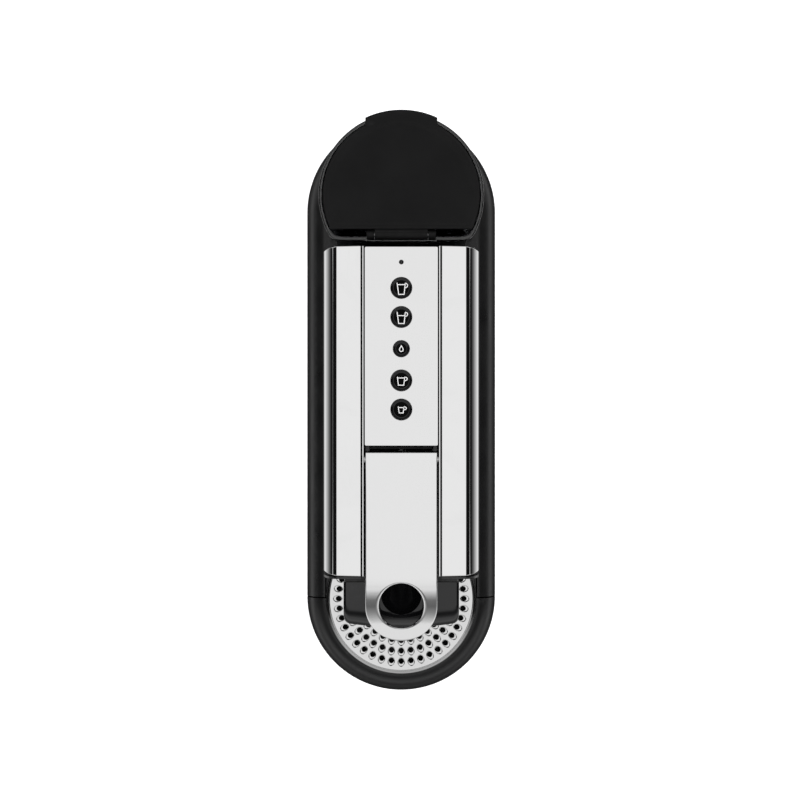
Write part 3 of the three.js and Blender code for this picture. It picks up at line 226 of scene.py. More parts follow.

# %% [markdown]
# ## The floor
#
# The floor is plain and pale. What metal reflects of it is a separate emission with painted shade: a
# painted contact shadow right beside the base, and painted flag shade further out, under the two flags.
# The distance is measured from the long axis of the base, so that the painted shadow follows its racetrack
# shape.

# %% Lay the floor
FLOOR_HALF = 6.0
floor_mesh = bpy.data.meshes.new("floor")
corners = [(-1, -1), (1, -1), (1, 1), (-1, 1)]
floor_mesh.from_pydata([(x * FLOOR_HALF, y * FLOOR_HALF, 0) for x, y in corners], [], [(0, 1, 2, 3)])
floor = bpy.data.objects.new("floor", floor_mesh)
scene.collection.objects.link(floor)
floor_paint = bpy.data.materials.new("pale_floor")
floor_paint.use_nodes = True
tree = floor_paint.node_tree
tree.nodes.clear()
FLOOR_REACH = 5.0
# Floor brightness seen only in reflections, by distance from the base's axis: a painted contact shadow near
# the base, and painted flag shade far out at the sides
FLOOR_OPEN_PAINTED_SHADE = [(0.0, 0.01), (0.12, 0.01), (0.16, 0.05), (0.22, 0.1), (0.35, 0.2), (0.6, 0.6)]
FLOOR_OPEN_PAINTED_SHADE += [(0.9, 0.85), (5.0, 0.85)]
FLOOR_BY_FLAG_PAINTED_SHADE = [(0.0, 0.01), (0.09, 0.02), (0.108, 0.05), (0.122, 0.5), (0.135, 0.84), (0.15, 0.8)]
FLOOR_BY_FLAG_PAINTED_SHADE += [(0.18, 0.61), (0.216, 0.46), (0.259, 0.31), (0.313, 0.17), (0.395, 0.09)]
FLOOR_BY_FLAG_PAINTED_SHADE += [(0.53, 0.015), (1.2, 0.01), (2.6, 0.05), (5.0, 0.4)]
place = add(tree, "TexCoord")
parts, flag_mask = side_mask(tree, place.outputs["Object"], 0.17, 0.3)
ahead = add(tree, "Math", operation="ABSOLUTE")
beyond = add(tree, "Math", operation="SUBTRACT")
beyond.inputs[1].default_value = abs(TRAY_Y) * MM
clamped = add(tree, "Math", operation="MAXIMUM")
clamped.inputs[1].default_value = 0.0
from_axis = add(tree, "CombineXYZ")
distance = add(tree, "VectorMath", operation="LENGTH")
reach = add(tree, "MapRange", From_Min=0.0, From_Max=FLOOR_REACH)
open_floor_painted_shade = ramp_of(tree, [(metres / FLOOR_REACH, grey) for metres, grey in FLOOR_OPEN_PAINTED_SHADE])
flag_floor_painted_shade = ramp_of(tree, [(metres / FLOOR_REACH, grey) for metres, grey in FLOOR_BY_FLAG_PAINTED_SHADE])
painted_floor_shade = add(tree, "Mix", data_type="RGBA")
# Painted shade: the floor that metal reflects, with its painted contact shadow and painted flag shade
painted_shade_seen_in_metal = add(tree, "Emission", Strength=1.0)
matt = add(tree, "BsdfDiffuse", Color=(0.9, 0.9, 0.9, 1))
lift = add(tree, "Emission", Color=(1, 1, 1, 1), Strength=0.75)
together = add(tree, "AddShader")
which = add(tree, "LightPath")
pick = add(tree, "MixShader")
floor_out = add(tree, "OutputMaterial")
wire(
    tree,
    (parts, "Y", ahead, 0), (ahead, 0, beyond, 0), (beyond, 0, clamped, 0), (parts, "X", from_axis, "X"),
    (clamped, 0, from_axis, "Y"), (from_axis, 0, distance, 0), (distance, "Value", reach, "Value"),
    (reach, 0, open_floor_painted_shade, 0), (reach, 0, flag_floor_painted_shade, 0),
)
tree.links.new(flag_mask, painted_floor_shade.inputs["Factor"])
wire(
    tree,
    (open_floor_painted_shade, 0, painted_floor_shade, 6), (flag_floor_painted_shade, 0, painted_floor_shade, 7), (painted_floor_shade, 2, painted_shade_seen_in_metal, "Color"),
    (matt, 0, together, 0), (lift, 0, together, 1), (which, "Is Glossy Ray", pick, 0),
    (together, 0, pick, 1), (painted_shade_seen_in_metal, 0, pick, 2), (pick, 0, floor_out, "Surface"),
)
floor_mesh.materials.append(floor_paint)

# %% [markdown]
# ## Surface effects that several finishes share
#
# A finish is more than a colour. Mouldings have a fine sparked grain and go a little shiny where hands
# rub them. Metal has a draw direction and smudges. Each such effect is a node group with named sockets,
# built once and placed in each material with its own values.

# %% A helper that starts a node group


def effect_group(name, inputs, outputs):
    """An empty shader node group with float inputs {name: value} and outputs {name: socket type}."""
    group = bpy.data.node_groups.new(name, "ShaderNodeTree")
    for label, value in inputs.items():
        socket = group.interface.new_socket(label, in_out="INPUT", socket_type="NodeSocketFloat")
        socket.default_value = value
    for label, kind in outputs.items():
        group.interface.new_socket(label, in_out="OUTPUT", socket_type=kind)
    return group, group.nodes.new("NodeGroupInput"), group.nodes.new("NodeGroupOutput")


# %% Moulded grain: the fine sparked texture of a plastic tool
moulded_grain, grain_in, grain_out = effect_group(
    "moulded_grain",
    {"Cell size": 0.0006, "Patchiness": 0.5},
    {"Height": "NodeSocketFloat", "Rub": "NodeSocketFloat"},
)
place = add(moulded_grain, "TexCoord")
per_metre = add(moulded_grain, "Math", operation="DIVIDE", Value=1.0)
fine = add(moulded_grain, "TexNoise", Detail=3.0, Roughness=0.6)
pits = add(moulded_grain, "TexVoronoi")
blend_height = add(moulded_grain, "Math", operation="MULTIPLY_ADD")
blend_height.inputs[1].default_value = 0.35
broad = add(moulded_grain, "TexNoise", Scale=38.0, Detail=4.0, Roughness=0.55)
rub = add(moulded_grain, "MapRange", From_Min=0.35, From_Max=0.7)
strength = add(moulded_grain, "Math", operation="MULTIPLY")
wire(moulded_grain, (grain_in, "Cell size", per_metre, 1))
for texture in (fine, pits):
    wire(moulded_grain, (place, "Object", texture, "Vector"), (per_metre, 0, texture, "Scale"))
wire(
    moulded_grain,
    (pits, "Distance", blend_height, 0), (fine, "Fac", blend_height, 2),
    (blend_height, 0, grain_out, "Height"), (place, "Object", broad, "Vector"),
    (broad, "Fac", rub, "Value"), (rub, 0, strength, 0), (grain_in, "Patchiness", strength, 1),
    (strength, 0, grain_out, "Rub"),
)
print("moulded_grain has", len(moulded_grain.nodes), "nodes")

# %% Edge wear: where a corner stands proud it is rubbed brighter
edge_wear, wear_in, wear_out = effect_group(
    "edge_wear", {"Reach": 0.0012, "Break up": 0.5}, {"Mask": "NodeSocketFloat"}
)
corner = add(edge_wear, "NewGeometry")
proud = add(edge_wear, "MapRange", From_Min=0.52, From_Max=0.62)
place = add(edge_wear, "TexCoord")
scuffs = add(edge_wear, "TexNoise", Scale=260.0, Detail=5.0, Roughness=0.7)
scuff_mask = add(edge_wear, "MapRange", From_Max=0.62)
worn = add(edge_wear, "Math", operation="MULTIPLY")
wire(
    edge_wear,
    (corner, "Pointiness", proud, "Value"), (place, "Object", scuffs, "Vector"),
    (scuffs, "Fac", scuff_mask, "Value"), (wear_in, "Break up", scuff_mask, "From Min"),
    (proud, 0, worn, 0), (scuff_mask, 0, worn, 1), (worn, 0, wear_out, "Mask"),
)

# %% Handling marks: faint smudges and hair scratches on anything polished
handling_marks, marks_in, marks_out = effect_group(
    "handling_marks",
    {"Smudge size": 0.03, "Smudges": 0.5, "Scratches": 0.3},
    {"Haze": "NodeSocketFloat", "Height": "NodeSocketFloat"},
)
place = add(handling_marks, "TexCoord")
per_metre = add(handling_marks, "Math", operation="DIVIDE", Value=1.0)
smudge = add(handling_marks, "TexNoise", Detail=5.0, Roughness=0.62, Distortion=0.6)
smudge_mask = add(handling_marks, "MapRange", From_Min=0.5, From_Max=0.72)
smudge_amount = add(handling_marks, "Math", operation="MULTIPLY")
stretch = add(handling_marks, "Mapping")
stretch.inputs["Rotation"].default_value = (0.2, 0.1, 0.5)
stretch.inputs["Scale"].default_value = (1.0, 0.03, 1.0)
hairs = add(handling_marks, "TexNoise", Scale=900.0, Detail=2.0)
hair_mask = add(handling_marks, "MapRange", From_Min=0.66, From_Max=0.74)
hair_amount = add(handling_marks, "Math", operation="MULTIPLY")
haze = add(handling_marks, "Math", operation="ADD")
wire(
    handling_marks,
    (marks_in, "Smudge size", per_metre, 1), (place, "Object", smudge, "Vector"),
    (per_metre, 0, smudge, "Scale"), (smudge, "Fac", smudge_mask, "Value"),
    (smudge_mask, 0, smudge_amount, 0), (marks_in, "Smudges", smudge_amount, 1),
    (place, "Object", stretch, "Vector"), (stretch, 0, hairs, "Vector"),
    (hairs, "Fac", hair_mask, "Value"), (hair_mask, 0, hair_amount, 0),
    (marks_in, "Scratches", hair_amount, 1), (smudge_amount, 0, haze, 0), (hair_amount, 0, haze, 1),
    (haze, 0, marks_out, "Haze"), (hair_amount, 0, marks_out, "Height"),
)

# %% Drawn lines: the direction that sheet metal is brushed or rolled in
drawn_lines, lines_in, lines_out = effect_group(
    "drawn_lines", {"Line width": 0.00012}, {"Lines": "NodeSocketFloat"}
)
place = add(drawn_lines, "TexCoord")
per_metre = add(drawn_lines, "Math", operation="DIVIDE", Value=1.0)
along = add(drawn_lines, "Mapping")
along.inputs["Scale"].default_value = (1.0, 0.012, 1.0)
streaks = add(drawn_lines, "TexNoise", Detail=4.0, Roughness=0.7)
wire(
    drawn_lines,
    (lines_in, "Line width", per_metre, 1), (place, "Object", along, "Vector"),
    (along, 0, streaks, "Vector"), (per_metre, 0, streaks, "Scale"),
    (streaks, "Fac", lines_out, "Lines"),
)

# %% [markdown]
# ## The finishes
#
# Every material starts from one Principled shader. Its even values are set on the shader itself, and
# only what changes over the surface is linked: the colour, the roughness and the bump.

# %% Helpers that start a material and link an effect into it


def start_material(name, **values):
    """A material and its Principled shader, with even values on the shader's own sockets."""
    material = bpy.data.materials.new(name)
    material.use_nodes = True
    shader = material.node_tree.nodes["Principled BSDF"]
    for key, value in values.items():
        shader.inputs[key.replace("_", " ")].default_value = value
    return material, material.node_tree, shader


def place_group(tree, group, **values):
    """An effect group in a material, with this material's own values."""
    node = tree.nodes.new("ShaderNodeGroup")
    node.node_tree = group
    for key, value in values.items():
        node.inputs[key.replace("_", " ")].default_value = value
    return node


def vary(tree, factor, low, high, target):
    """target runs from low to high as factor runs from 0 to 1. The ends are greys or colours."""
    ramp = ramp_of(tree, [(0.0, low), (1.0, high)])
    tree.links.new(factor, ramp.inputs[0])
    tree.links.new(ramp.outputs[0], target)


def bump(tree, shader, height_socket, depth):
    """A bump of that depth in metres."""
    node = add(tree, "Bump", Strength=1.0, Distance=depth)
    tree.links.new(height_socket, node.inputs["Height"])
    wire(tree, (node, 0, shader, "Normal"))


def moulding(name, dark, light, smooth, rough, grain, depth, **values):
    """A moulded plastic: grain, patches that are rubbed smoother, and paler edges."""
    material, tree, shader = start_material(name, **values)
    texture = place_group(tree, moulded_grain, Cell_size=grain, Patchiness=1.0)
    wear = place_group(tree, edge_wear, Break_up=0.35)
    vary(tree, texture.outputs["Rub"], rough, smooth, shader.inputs["Roughness"])
    vary(tree, wear.outputs["Mask"], dark, light, shader.inputs["Base Color"])
    bump(tree, shader, texture.outputs["Height"], depth)
    return material


def polished(name, dull, bright, haze_low, haze_high, smudges, scratches, lines=None, **values):
    """A polished metal: bright, with smudges that dull it, hair scratches and perhaps drawn lines."""
    material, tree, shader = start_material(name, Metallic=1.0, **values)
    marks = place_group(tree, handling_marks, Smudges=smudges, Scratches=scratches)
    vary(tree, marks.outputs["Haze"], haze_low, haze_high, shader.inputs["Roughness"])
    if lines:
        brushed = place_group(tree, drawn_lines, Line_width=lines)
        vary(tree, brushed.outputs["Lines"], dull, bright, shader.inputs["Base Color"])
        bump(tree, shader, brushed.outputs["Lines"], 0.0000008)
    else:
        vary(tree, marks.outputs["Haze"], bright, dull, shader.inputs["Base Color"])
    return material


# %% [markdown]
# ## Which finish goes where
#
# The base, the lid and the column are black plastic with a fine satin grain. The nose, the spout and the
# buttons are the same plastic off a mirror-polished tool. The side covers, the rails and the grille are
# chromed. The panel and the lever are cast metal with a soft polish, and the tank is smoked plastic.

# %% Mix the finishes
satin_black = moulding(
    "satin_black", (0.006, 0.006, 0.0063), (0.016, 0.016, 0.0165), 0.26, 0.38, 0.0005, 0.00002
)
# Matt black with little shine for the lid and lugs; on the chassis it is painted shade, darker and duller
# so that the gap behind the panel stays dark
matt_black_and_gap_shade = moulding(
    "matt_black_and_gap_shade", (0.0048, 0.0048, 0.0049), (0.011, 0.011, 0.0113), 0.5, 0.62, 0.0006, 0.00003,
    Specular_IOR_Level=0.2,
)
gloss_black = moulding(
    "gloss_black", (0.004, 0.004, 0.0045), (0.012, 0.012, 0.013), 0.05, 0.11, 0.0025, 0.000003
)
soft_rubber = moulding("soft_rubber", (0.012,) * 3, (0.03,) * 3, 0.75, 0.9, 0.0009, 0.00006)
MILKY_EDGE = (0.7, 0.69, 0.66)
milky_silicone = moulding("milky_silicone", (0.62, 0.61, 0.57), MILKY_EDGE, 0.4, 0.55, 0.001, 0.00002)
white_nylon = moulding("white_nylon", (0.60, 0.585, 0.55), MILKY_EDGE, 0.42, 0.55, 0.0007, 0.00002)
green_board = moulding(
    "green_board", (0.012, 0.09, 0.04), (0.05, 0.16, 0.09), 0.25, 0.4, 0.0012, 0.00002
)
inlay_black = moulding(
    "inlay_black", (0.001,) * 3, (0.003,) * 3, 0.3, 0.4, 0.0006, 0.000004, Specular_IOR_Level=0.05
)
icon_white = moulding("icon_white", (0.83,) * 3, (0.9,) * 3, 0.35, 0.5, 0.0008, 0.000004)
chromed = polished("chromed", 0.8, 0.855, 0.03, 0.09, 0.5, 0.25)
satin_chrome = polished("satin_chrome", 0.68, 0.745, 0.07, 0.16, 0.5, 0.3)
cast_polish = polished("cast_polish", 0.81, 0.86, 0.09, 0.16, 0.5, 0.3, lines=0.00015)
bright_steel = polished("bright_steel", 0.5, 0.6, 0.2, 0.34, 0.6, 0.4, lines=0.0002)
raw_aluminium = polished("raw_aluminium", 0.55, 0.66, 0.3, 0.45, 0.6, 0.4, lines=0.0003)
BRASS = (0.5, 0.37, 0.18), (0.66, 0.5, 0.28)
turned_brass = polished("turned_brass", *BRASS, 0.25, 0.4, 0.5, 0.3, lines=0.0003)
print(len(bpy.data.materials), "materials so far")

# %% [markdown]
# ## Smoked plastic
#
# The tank is blow-clear plastic with a grey tint. It lets most light through, so its wall shows as two
# fine bright lines, one at each surface. The tint is even, so it is set on the shader, and only the
# roughness varies, from water marks that have dried on.

# %% Mix the smoked plastic
smoked, tree, shader = start_material(
    "smoked_plastic", Base_Color=(0.30, 0.31, 0.33, 1), Metallic=0.0, IOR=1.7,
    Specular_IOR_Level=1.0, Transmission_Weight=1.0,
)
marks = place_group(tree, handling_marks, Smudge_size=0.02, Smudges=0.7, Scratches=0.2)
vary(tree, marks.outputs["Haze"], 0.03, 0.16, shader.inputs["Roughness"])

# %% [markdown]
# ## Making a mesh from loops
#
# Nearly every piece here is a stack of closed outlines: a foot, a base or a button from bottom to top, a
# tank up the outside and down the inside. One function skins such a stack. A second one finishes a
# piece: it cuts it, bevels its edges, smooths it, gives it its material, hangs it on its body and hides the
# solids it replaces.

# %% Outlines


def arc(cx, cy, rx, ry, start, end, steps):
    """Points along part of an ellipse, angles in degrees."""
    angles = [math.radians(start + (end - start) * i / steps) for i in range(steps + 1)]
    return [(cx + rx * math.cos(a), cy + ry * math.sin(a)) for a in angles]


def circle(radius, steps=64, cx=0.0, cy=0.0):
    return arc(cx, cy, radius, radius, 0, 360 - 360 / steps, steps - 1)


def rounded_box(x0, y0, x1, y1, radius, steps=6):
    """A rectangle's outline with round corners."""
    points = []
    for start, corner_x, corner_y in ((-90, x1, y0), (0, x1, y1), (90, x0, y1), (180, x0, y0)):
        cx = corner_x + (radius if corner_x == x0 else -radius)
        cy = corner_y + (radius if corner_y == y0 else -radius)
        points += arc(cx, cy, radius, radius, start, start + 90, steps)
    return points


def lifted(profile, z):
    """A list of (radius, height) with z added to each height."""
    return [(r, z + height) for r, height in profile]


def at_height(outline, z):
    return [(x, y, z) for x, y in outline]


def along_x(outline, x):
    """An outline in y and z, placed at x."""
    return [(x, y, z) for y, z in outline]


def along_y(outline, y):
    """An outline in x and z, placed at y."""
    return [(x, y, z) for x, z in outline]


# %% Skins


def bridge(bm, rows):
    """Quads from each closed row of vertices to the next."""
    for low, high in zip(rows, rows[1:]):
        for i in range(len(low)):
            j = (i + 1) % len(low)
            bm.faces.new((low[i], low[j], high[j], high[i]))


def skin(loops, ring=False):
    """A mesh that runs from loop to loop and is closed by a face at either end, or end to end."""
    bm = bmesh.new()
    rows = [[bm.verts.new(Vector(p) * MM) for p in loop] for loop in loops]
    bridge(bm, rows + rows[:1] if ring else rows)
    if not ring:
        bm.faces.new(list(reversed(rows[0])))
        bm.faces.new(rows[-1])
    bmesh.ops.recalc_face_normals(bm, faces=bm.faces)
    return bm


def lathe(profile, steps=64, ring=False):
    """Turns [(radius, height), ...] about a vertical axis."""
    return skin([at_height(circle(r, steps), z) for r, z in profile], ring)


def moved(bm, x=0.0, y=0.0, z=0.0):
    bmesh.ops.translate(bm, verts=bm.verts, vec=Vector((x, y, z)) * MM)
    return bm


def turned_to(bm, axis, degrees):
    """Turns the mesh about an axis through the origin."""
    turn = Matrix.Rotation(math.radians(degrees), 3, axis)
    bmesh.ops.rotate(bm, verts=bm.verts, cent=(0, 0, 0), matrix=turn)
    return bm


def mirrored(bm):
    """A mirror image in x."""
    copy = bm.copy()
    bmesh.ops.scale(copy, verts=copy.verts, vec=(-1, 1, 1))
    bmesh.ops.reverse_faces(copy, faces=copy.faces)
    return copy


def block(x0, y0, z0, x1, y1, z1):
    """A plain box, as a cutter or as a rough shape that is bevelled later."""
    return skin([at_height([(x0, y0), (x1, y0), (x1, y1), (x0, y1)], z) for z in (z0, z1)])


def rod(radius, start, end, axis="Y", steps=40):
    """A cylinder along X, Y or Z, between two places on that axis."""
    if axis == "Z":
        return lathe([(radius, start), (radius, end)], steps)
    place = along_y if axis == "Y" else along_x
    return skin([place(circle(radius, steps), v) for v in (start, end)])


# %% Finishing a piece


def as_object(bm, name):
    mesh = bpy.data.meshes.new(name)
    bm.to_mesh(mesh)
    bm.free()
    obj = bpy.data.objects.new(name, mesh)
    scene.collection.objects.link(obj)
    return obj


def bake_modifiers(obj):
    """The object's mesh becomes what its modifiers make of it."""
    graph = bpy.context.evaluated_depsgraph_get()
    mesh = bpy.data.meshes.new_from_object(obj.evaluated_get(graph))
    old = obj.data
    obj.modifiers.clear()
    obj.data = mesh
    bpy.data.meshes.remove(old)


def combine(obj, bm, how):
    """Joins bm to obj (UNION) or cuts it out (DIFFERENCE), or keeps what they share (INTERSECT)."""
    tool = as_object(bm, "tool")
    modifier = obj.modifiers.new("combine", "BOOLEAN")
    modifier.operation = how
    modifier.solver = "EXACT"
    modifier.object = tool
    bake_modifiers(obj)
    mesh = tool.data
    bpy.data.objects.remove(tool)
    bpy.data.meshes.remove(mesh)
    bm = bmesh.new()
    bm.from_mesh(obj.data)
    bmesh.ops.remove_doubles(bm, verts=bm.verts, dist=1e-6)
    bmesh.ops.dissolve_degenerate(bm, edges=bm.edges, dist=1e-6)
    bm.to_mesh(obj.data)
    bm.free()


def smooth_with_sharp_edges(obj, angle):
    bm = bmesh.new()
    bm.from_mesh(obj.data)
    for face in bm.faces:
        face.smooth = True
    for edge in bm.edges:
        edge.smooth = edge.calc_face_angle(0) < math.radians(angle)
    bm.to_mesh(obj.data)
    bm.free()


def make(
    name, bm, body, material, replaces=(), joins=(), cuts=(), bevel=0.0, steps=2, angle=30
):
    """Builds a piece from a mesh, mm measures, and hands it to the frame."""
    obj = as_object(bm, name)
    for extra in joins:
        combine(obj, extra, "UNION")
    for cutter in cuts:
        combine(obj, cutter, "DIFFERENCE")
    if bevel:
        rounding = obj.modifiers.new("rounding", "BEVEL")
        rounding.width = bevel * MM
        rounding.segments = steps
        rounding.limit_method = "ANGLE"
        rounding.angle_limit = math.radians(angle)
        bake_modifiers(obj)
    smooth_with_sharp_edges(obj, 40)
    weighted = obj.modifiers.new("even_shading", "WEIGHTED_NORMAL")
    weighted.keep_sharp = True
    obj.data.materials.clear()
    obj.data.materials.append(material)
    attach(obj, body)
    if replaces:
        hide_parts(*replaces)
    print(f"{name}: {len(obj.data.polygons)} faces, {[round(d / MM, 1) for d in obj.dimensions]} mm")
    return obj


# %% [markdown]
# ## The base
#
# The base is one deep moulding. Seen from above it is a racetrack: two half circles and two straights.
# Its wall stands straight up and then rolls over in a broad shoulder. The half circle in front belongs
# to the drip unit and pulls out, so the base itself ends there in a flat seam with a fine joint line.

# %% The section of the wall, and the two halves of the racetrack
SHOULDER_WIDTH = 13.0
SHOULDER_RISE = 22.0
SEAM_GAP = 0.3


def wall_section(toe=2.0):
    """(inset, height) from the table up and over the shoulder."""
    points = [(inset, BASE_UNDER + z) for inset, z in arc(toe, toe, -toe, -toe, 90, 0, 5)]
    shoulder_z = BASE_TOP - SHOULDER_RISE
    return points + arc(SHOULDER_WIDTH, shoulder_z, -SHOULDER_WIDTH, SHOULDER_RISE, 0, 90, 18)


def rear_outline(inset, front, steps=72):
    r = BASE_RADIUS - inset
    return [(r, front)] + arc(0, REAR_Y, r, r, 0, 180, steps) + [(-r, front)]


def front_outline(inset, back, steps=72):
    r = BASE_RADIUS - inset
    start = math.degrees(math.asin((TRAY_Y - back) / r))
    return arc(0, TRAY_Y, r, r, 180 + start, 360 - start, steps)


seam = TRAY_Y + 0.6
base_loops = [at_height(rear_outline(inset, seam), z) for inset, z in wall_section()]
print(len(base_loops), "loops of", len(base_loops[0]), "points make the wall")

# %% Cut the bays and finish the base
gland_low, gland_high = node_box("cord_gland")
gland_x, gland_z = (gland_low.x + gland_high.x) / 2, (gland_low.z + gland_high.z) / 2
BAY_HALF, BAY_REAR = 52.0, -79.7
BIN_BAY_HALF, BIN_BAY_REAR = 43.5, -4
FLOOR_TOP = 8.0
CONNECTOR_Y = 128.15
base_cuts = [
    block(-BAY_HALF, TRAY_Y - 9, FLOOR_TOP, BAY_HALF, BAY_REAR, BASE_TOP + 5),
    block(-BIN_BAY_HALF, -81, FLOOR_TOP, BIN_BAY_HALF, BIN_BAY_REAR, BASE_TOP + 5),
    moved(rod(6.3, 180, 205, "Y"), x=gland_x, z=gland_z),
    moved(lathe([(8.3, 43), (8.3, 55)], 40), y=CONNECTOR_Y),
]
make(
    "base", skin(base_loops), "machine", satin_black, ["base_housing"],
    cuts=base_cuts, bevel=0.35,
)

# %% [markdown]
# ## The drip tub
#
# The front half circle is the face of the drip unit. Behind it, hidden between the base's two arms, is a
# tub that catches spills, and a flat tongue that carries the bin for used pods.

# %% Build the tub
grille_low, grille_high = node_box("cup_grille")
bin_low, bin_high = node_box("pod_bin")
tub_back = TRAY_Y - SEAM_GAP
tub_loops = [at_height(front_outline(inset, tub_back), z) for inset, z in wall_section()]
tub_insert = block(-51.2, TRAY_Y - 0.6, 8.3, 51.2, -80.3, 50.0)
tub_tongue = block(-42.5, -82, 8.3, 42.5, tub_high.y, 11.3)
bowl_profile = [(40, 10.8)] + [(46 + x, 12.8 + z) for x, z in arc(0, 0, 2, 2, -90, 0, 5)] + [(48, 60)]
tub_cuts = [moved(lathe(bowl_profile, 96), y=TRAY_Y), moved(lathe([(52, 50), (52, 60)], 128), y=TRAY_Y)]
make(
    "drip_tub_shell", skin(tub_loops), "drip_unit", satin_black, ["drip_tub"],
    joins=[tub_insert, tub_tongue], cuts=tub_cuts, bevel=0.35,
)

# %% [markdown]
# ## The cup grille
#
# The grille is a chromed disc like a flat cap. Its holes stand in rings, and each ring has six more than
# the one inside it, so the pitch stays even. The cap is turned as a profile and drilled with all the
# holes at once. Each hole has a shallow lead-in on its outer side, as spilled drops run outwards. The
# lead-in shows as a bright crescent with a dark outline.

# %% Where the holes are
HOLE_PITCH = 7.1
HOLE_RADIUS = 1.9
plate_top = grille_high.z
holes = []
for ring_number in range(1, 7):
    count = 6 * ring_number + 4
    radius = HOLE_RADIUS - (0.55 if ring_number == 1 else 0.0)
    for i in range(count):
        holes.append((ring_number * HOLE_PITCH, 2 * math.pi * i / count - math.pi / 2, radius))
print(len(holes), "holes")

# %% Turn the cap and drill it


def drills(steps, rows):
    """One cutter for every hole. Each row gives how far it reaches in, out and aside, and its height."""
    bm = bmesh.new()
    for ring_radius, angle, radius in holes:
        loops = []
        for inward, outward, aside, z in rows:
            half_length = radius + (inward + outward) / 2
            middle = ring_radius + (outward - inward) / 2
            loop = []
            for x, y in arc(middle, 0, half_length, radius + aside, 0, 360 - 360 / steps, steps - 1):
                across = x * math.cos(angle) - y * math.sin(angle)
                back = x * math.sin(angle) + y * math.cos(angle)
                loop.append(bm.verts.new(Vector((across, back + TRAY_Y, z)) * MM))
            loops.append(loop)
        bridge(bm, loops)
        bm.faces.new(list(reversed(loops[0])))
        bm.faces.new(loops[-1])
    bmesh.ops.recalc_face_normals(bm, faces=bm.faces)
    return bm


flange = grille_low.z
CAP_STEPS, DRILL_STEPS = 160, 24
edge = [(51.35, -1.5), (51.2, -1.1), (50.9, -0.95), (49.6, -0.8), (49.3, -0.6), (49.1, -0.2)]
edge += [(48.8, -0.02), (48.4, 0.0), (47.3, -0.04)]
cap_profile = [(49.4, plate_top - 5.0), (49.8, flange), (51.1, flange), (51.35, flange + 0.3)]
cap = moved(lathe(cap_profile + lifted(edge, plate_top), CAP_STEPS), y=TRAY_Y)
LIP = [(0.0, 1.4, 0.0, -0.85), (0.08, 1.45, 0.05, -0.5), (0.3, 1.65, 0.25, -0.25)]
LIP += [(0.55, 1.9, 0.5, -0.1), (0.8, 2.15, 0.72, 0.02)]
BORE = [(-0.1, -0.1, -0.1, -7.0), (-0.1, -0.1, -0.1, -1.3), (-0.05, 0.25, -0.05, -0.7)]
grille_cuts = [drills(DRILL_STEPS, [(*reach, plate_top + z) for *reach, z in rows]) for rows in (LIP, BORE)]
make("perforated_grille", cap, "grille", satin_chrome, ["cup_grille"], cuts=grille_cuts)

# %% [markdown]
# ## The side covers
#
# Each cover is a folded sheet: up the side, over the top corner in a tightening curve, and in to the
# middle strip, where a small lip turns down. Its front and rear edges fall back a little towards the
# sides, which softens the box. The sheet is skinned from end to end along Y, and the room under the head
# is cut out of it.

# %% The cover's section, and its soft front and rear ends
CORNER_WIDTH = 9.5
CORNER_DROP = 34.0
SHEET = 2.0
cover_inner = cover_low.x
flat_half = BODY_HALF - CORNER_WIDTH
END_FALL = 2.6


def cover_section(inset=0.0):
    corner = arc(flat_half, BODY_TOP - CORNER_DROP, CORNER_WIDTH - inset, CORNER_DROP - inset, 0, 90, 26)
    return [(BODY_HALF - inset, cover_low.z)] + corner


outer = cover_section() + [(cover_inner, BODY_TOP)]
lip_x, lip_z = cover_inner + 1.4, BODY_TOP - 4.5
inner = cover_section(SHEET) + [(lip_x, BODY_TOP - SHEET), (lip_x, lip_z), (cover_inner, lip_z)]
sheet_outline = outer + inner[::-1]


def end_fall(x):
    """How far the cover's end falls back at a distance from the middle."""
    return END_FALL * max(0.0, (abs(x) - 34.0) / (BODY_HALF - 34.0)) ** 2


def cover_loop(share):
    """The section at a share of the length, with its ends bent back."""
    length = BODY_REAR - BODY_FRONT
    return [(x, BODY_FRONT + share * length + end_fall(x) * (1 - 2 * share), z) for x, z in sheet_outline]


def under_head(half):
    """The space below the head and ahead of the column, with its rounded instep."""
    radius = 16.0
    outline = [(BODY_FRONT - 9, 0), (COLUMN_FRONT, 0)]
    outline += arc(COLUMN_FRONT - radius, HEAD_UNDER - radius, radius, radius, 0, 90, 16)
    outline += [(BODY_FRONT - 9, HEAD_UNDER)]
    return skin([along_x(outline, x) for x in (-half, half)])


# %% Fold both covers
right_cover = skin([cover_loop(0), cover_loop(1)])
for side, mesh in (("left", mirrored(right_cover)), ("right", right_cover)):
    make(
        f"cover_{side}", mesh, "machine", chromed, [f"side_cover_{side}"],
        cuts=[under_head(60)], bevel=0.4, steps=3, angle=50,
    )

# %% [markdown]
# ## The rails
#
# A narrow chromed rail runs beside the panel and the lever on either side. Its two dark joints frame the
# middle strip with a fine double line.

# %% Both rails


def pin_hole(steps=40):
    """A cutter for the lever's pin."""
    return moved(rod(PIN_BORE, -60, 60, "X", steps), y=PIVOT_Y, z=PIVOT_Z)


for side in ("left", "right"):
    low, high = node_box(f"rail_{side}")
    make(
        f"trim_rail_{side}", block(*low, *high), "machine", chromed, [f"rail_{side}"],
        cuts=[pin_hole()], bevel=0.3, steps=3,
    )

# %% [markdown]
# ## The control panel
#
# The panel is a cast plate with softly rounded edges. Five round holes take the buttons and a pinhole
# takes the status light.

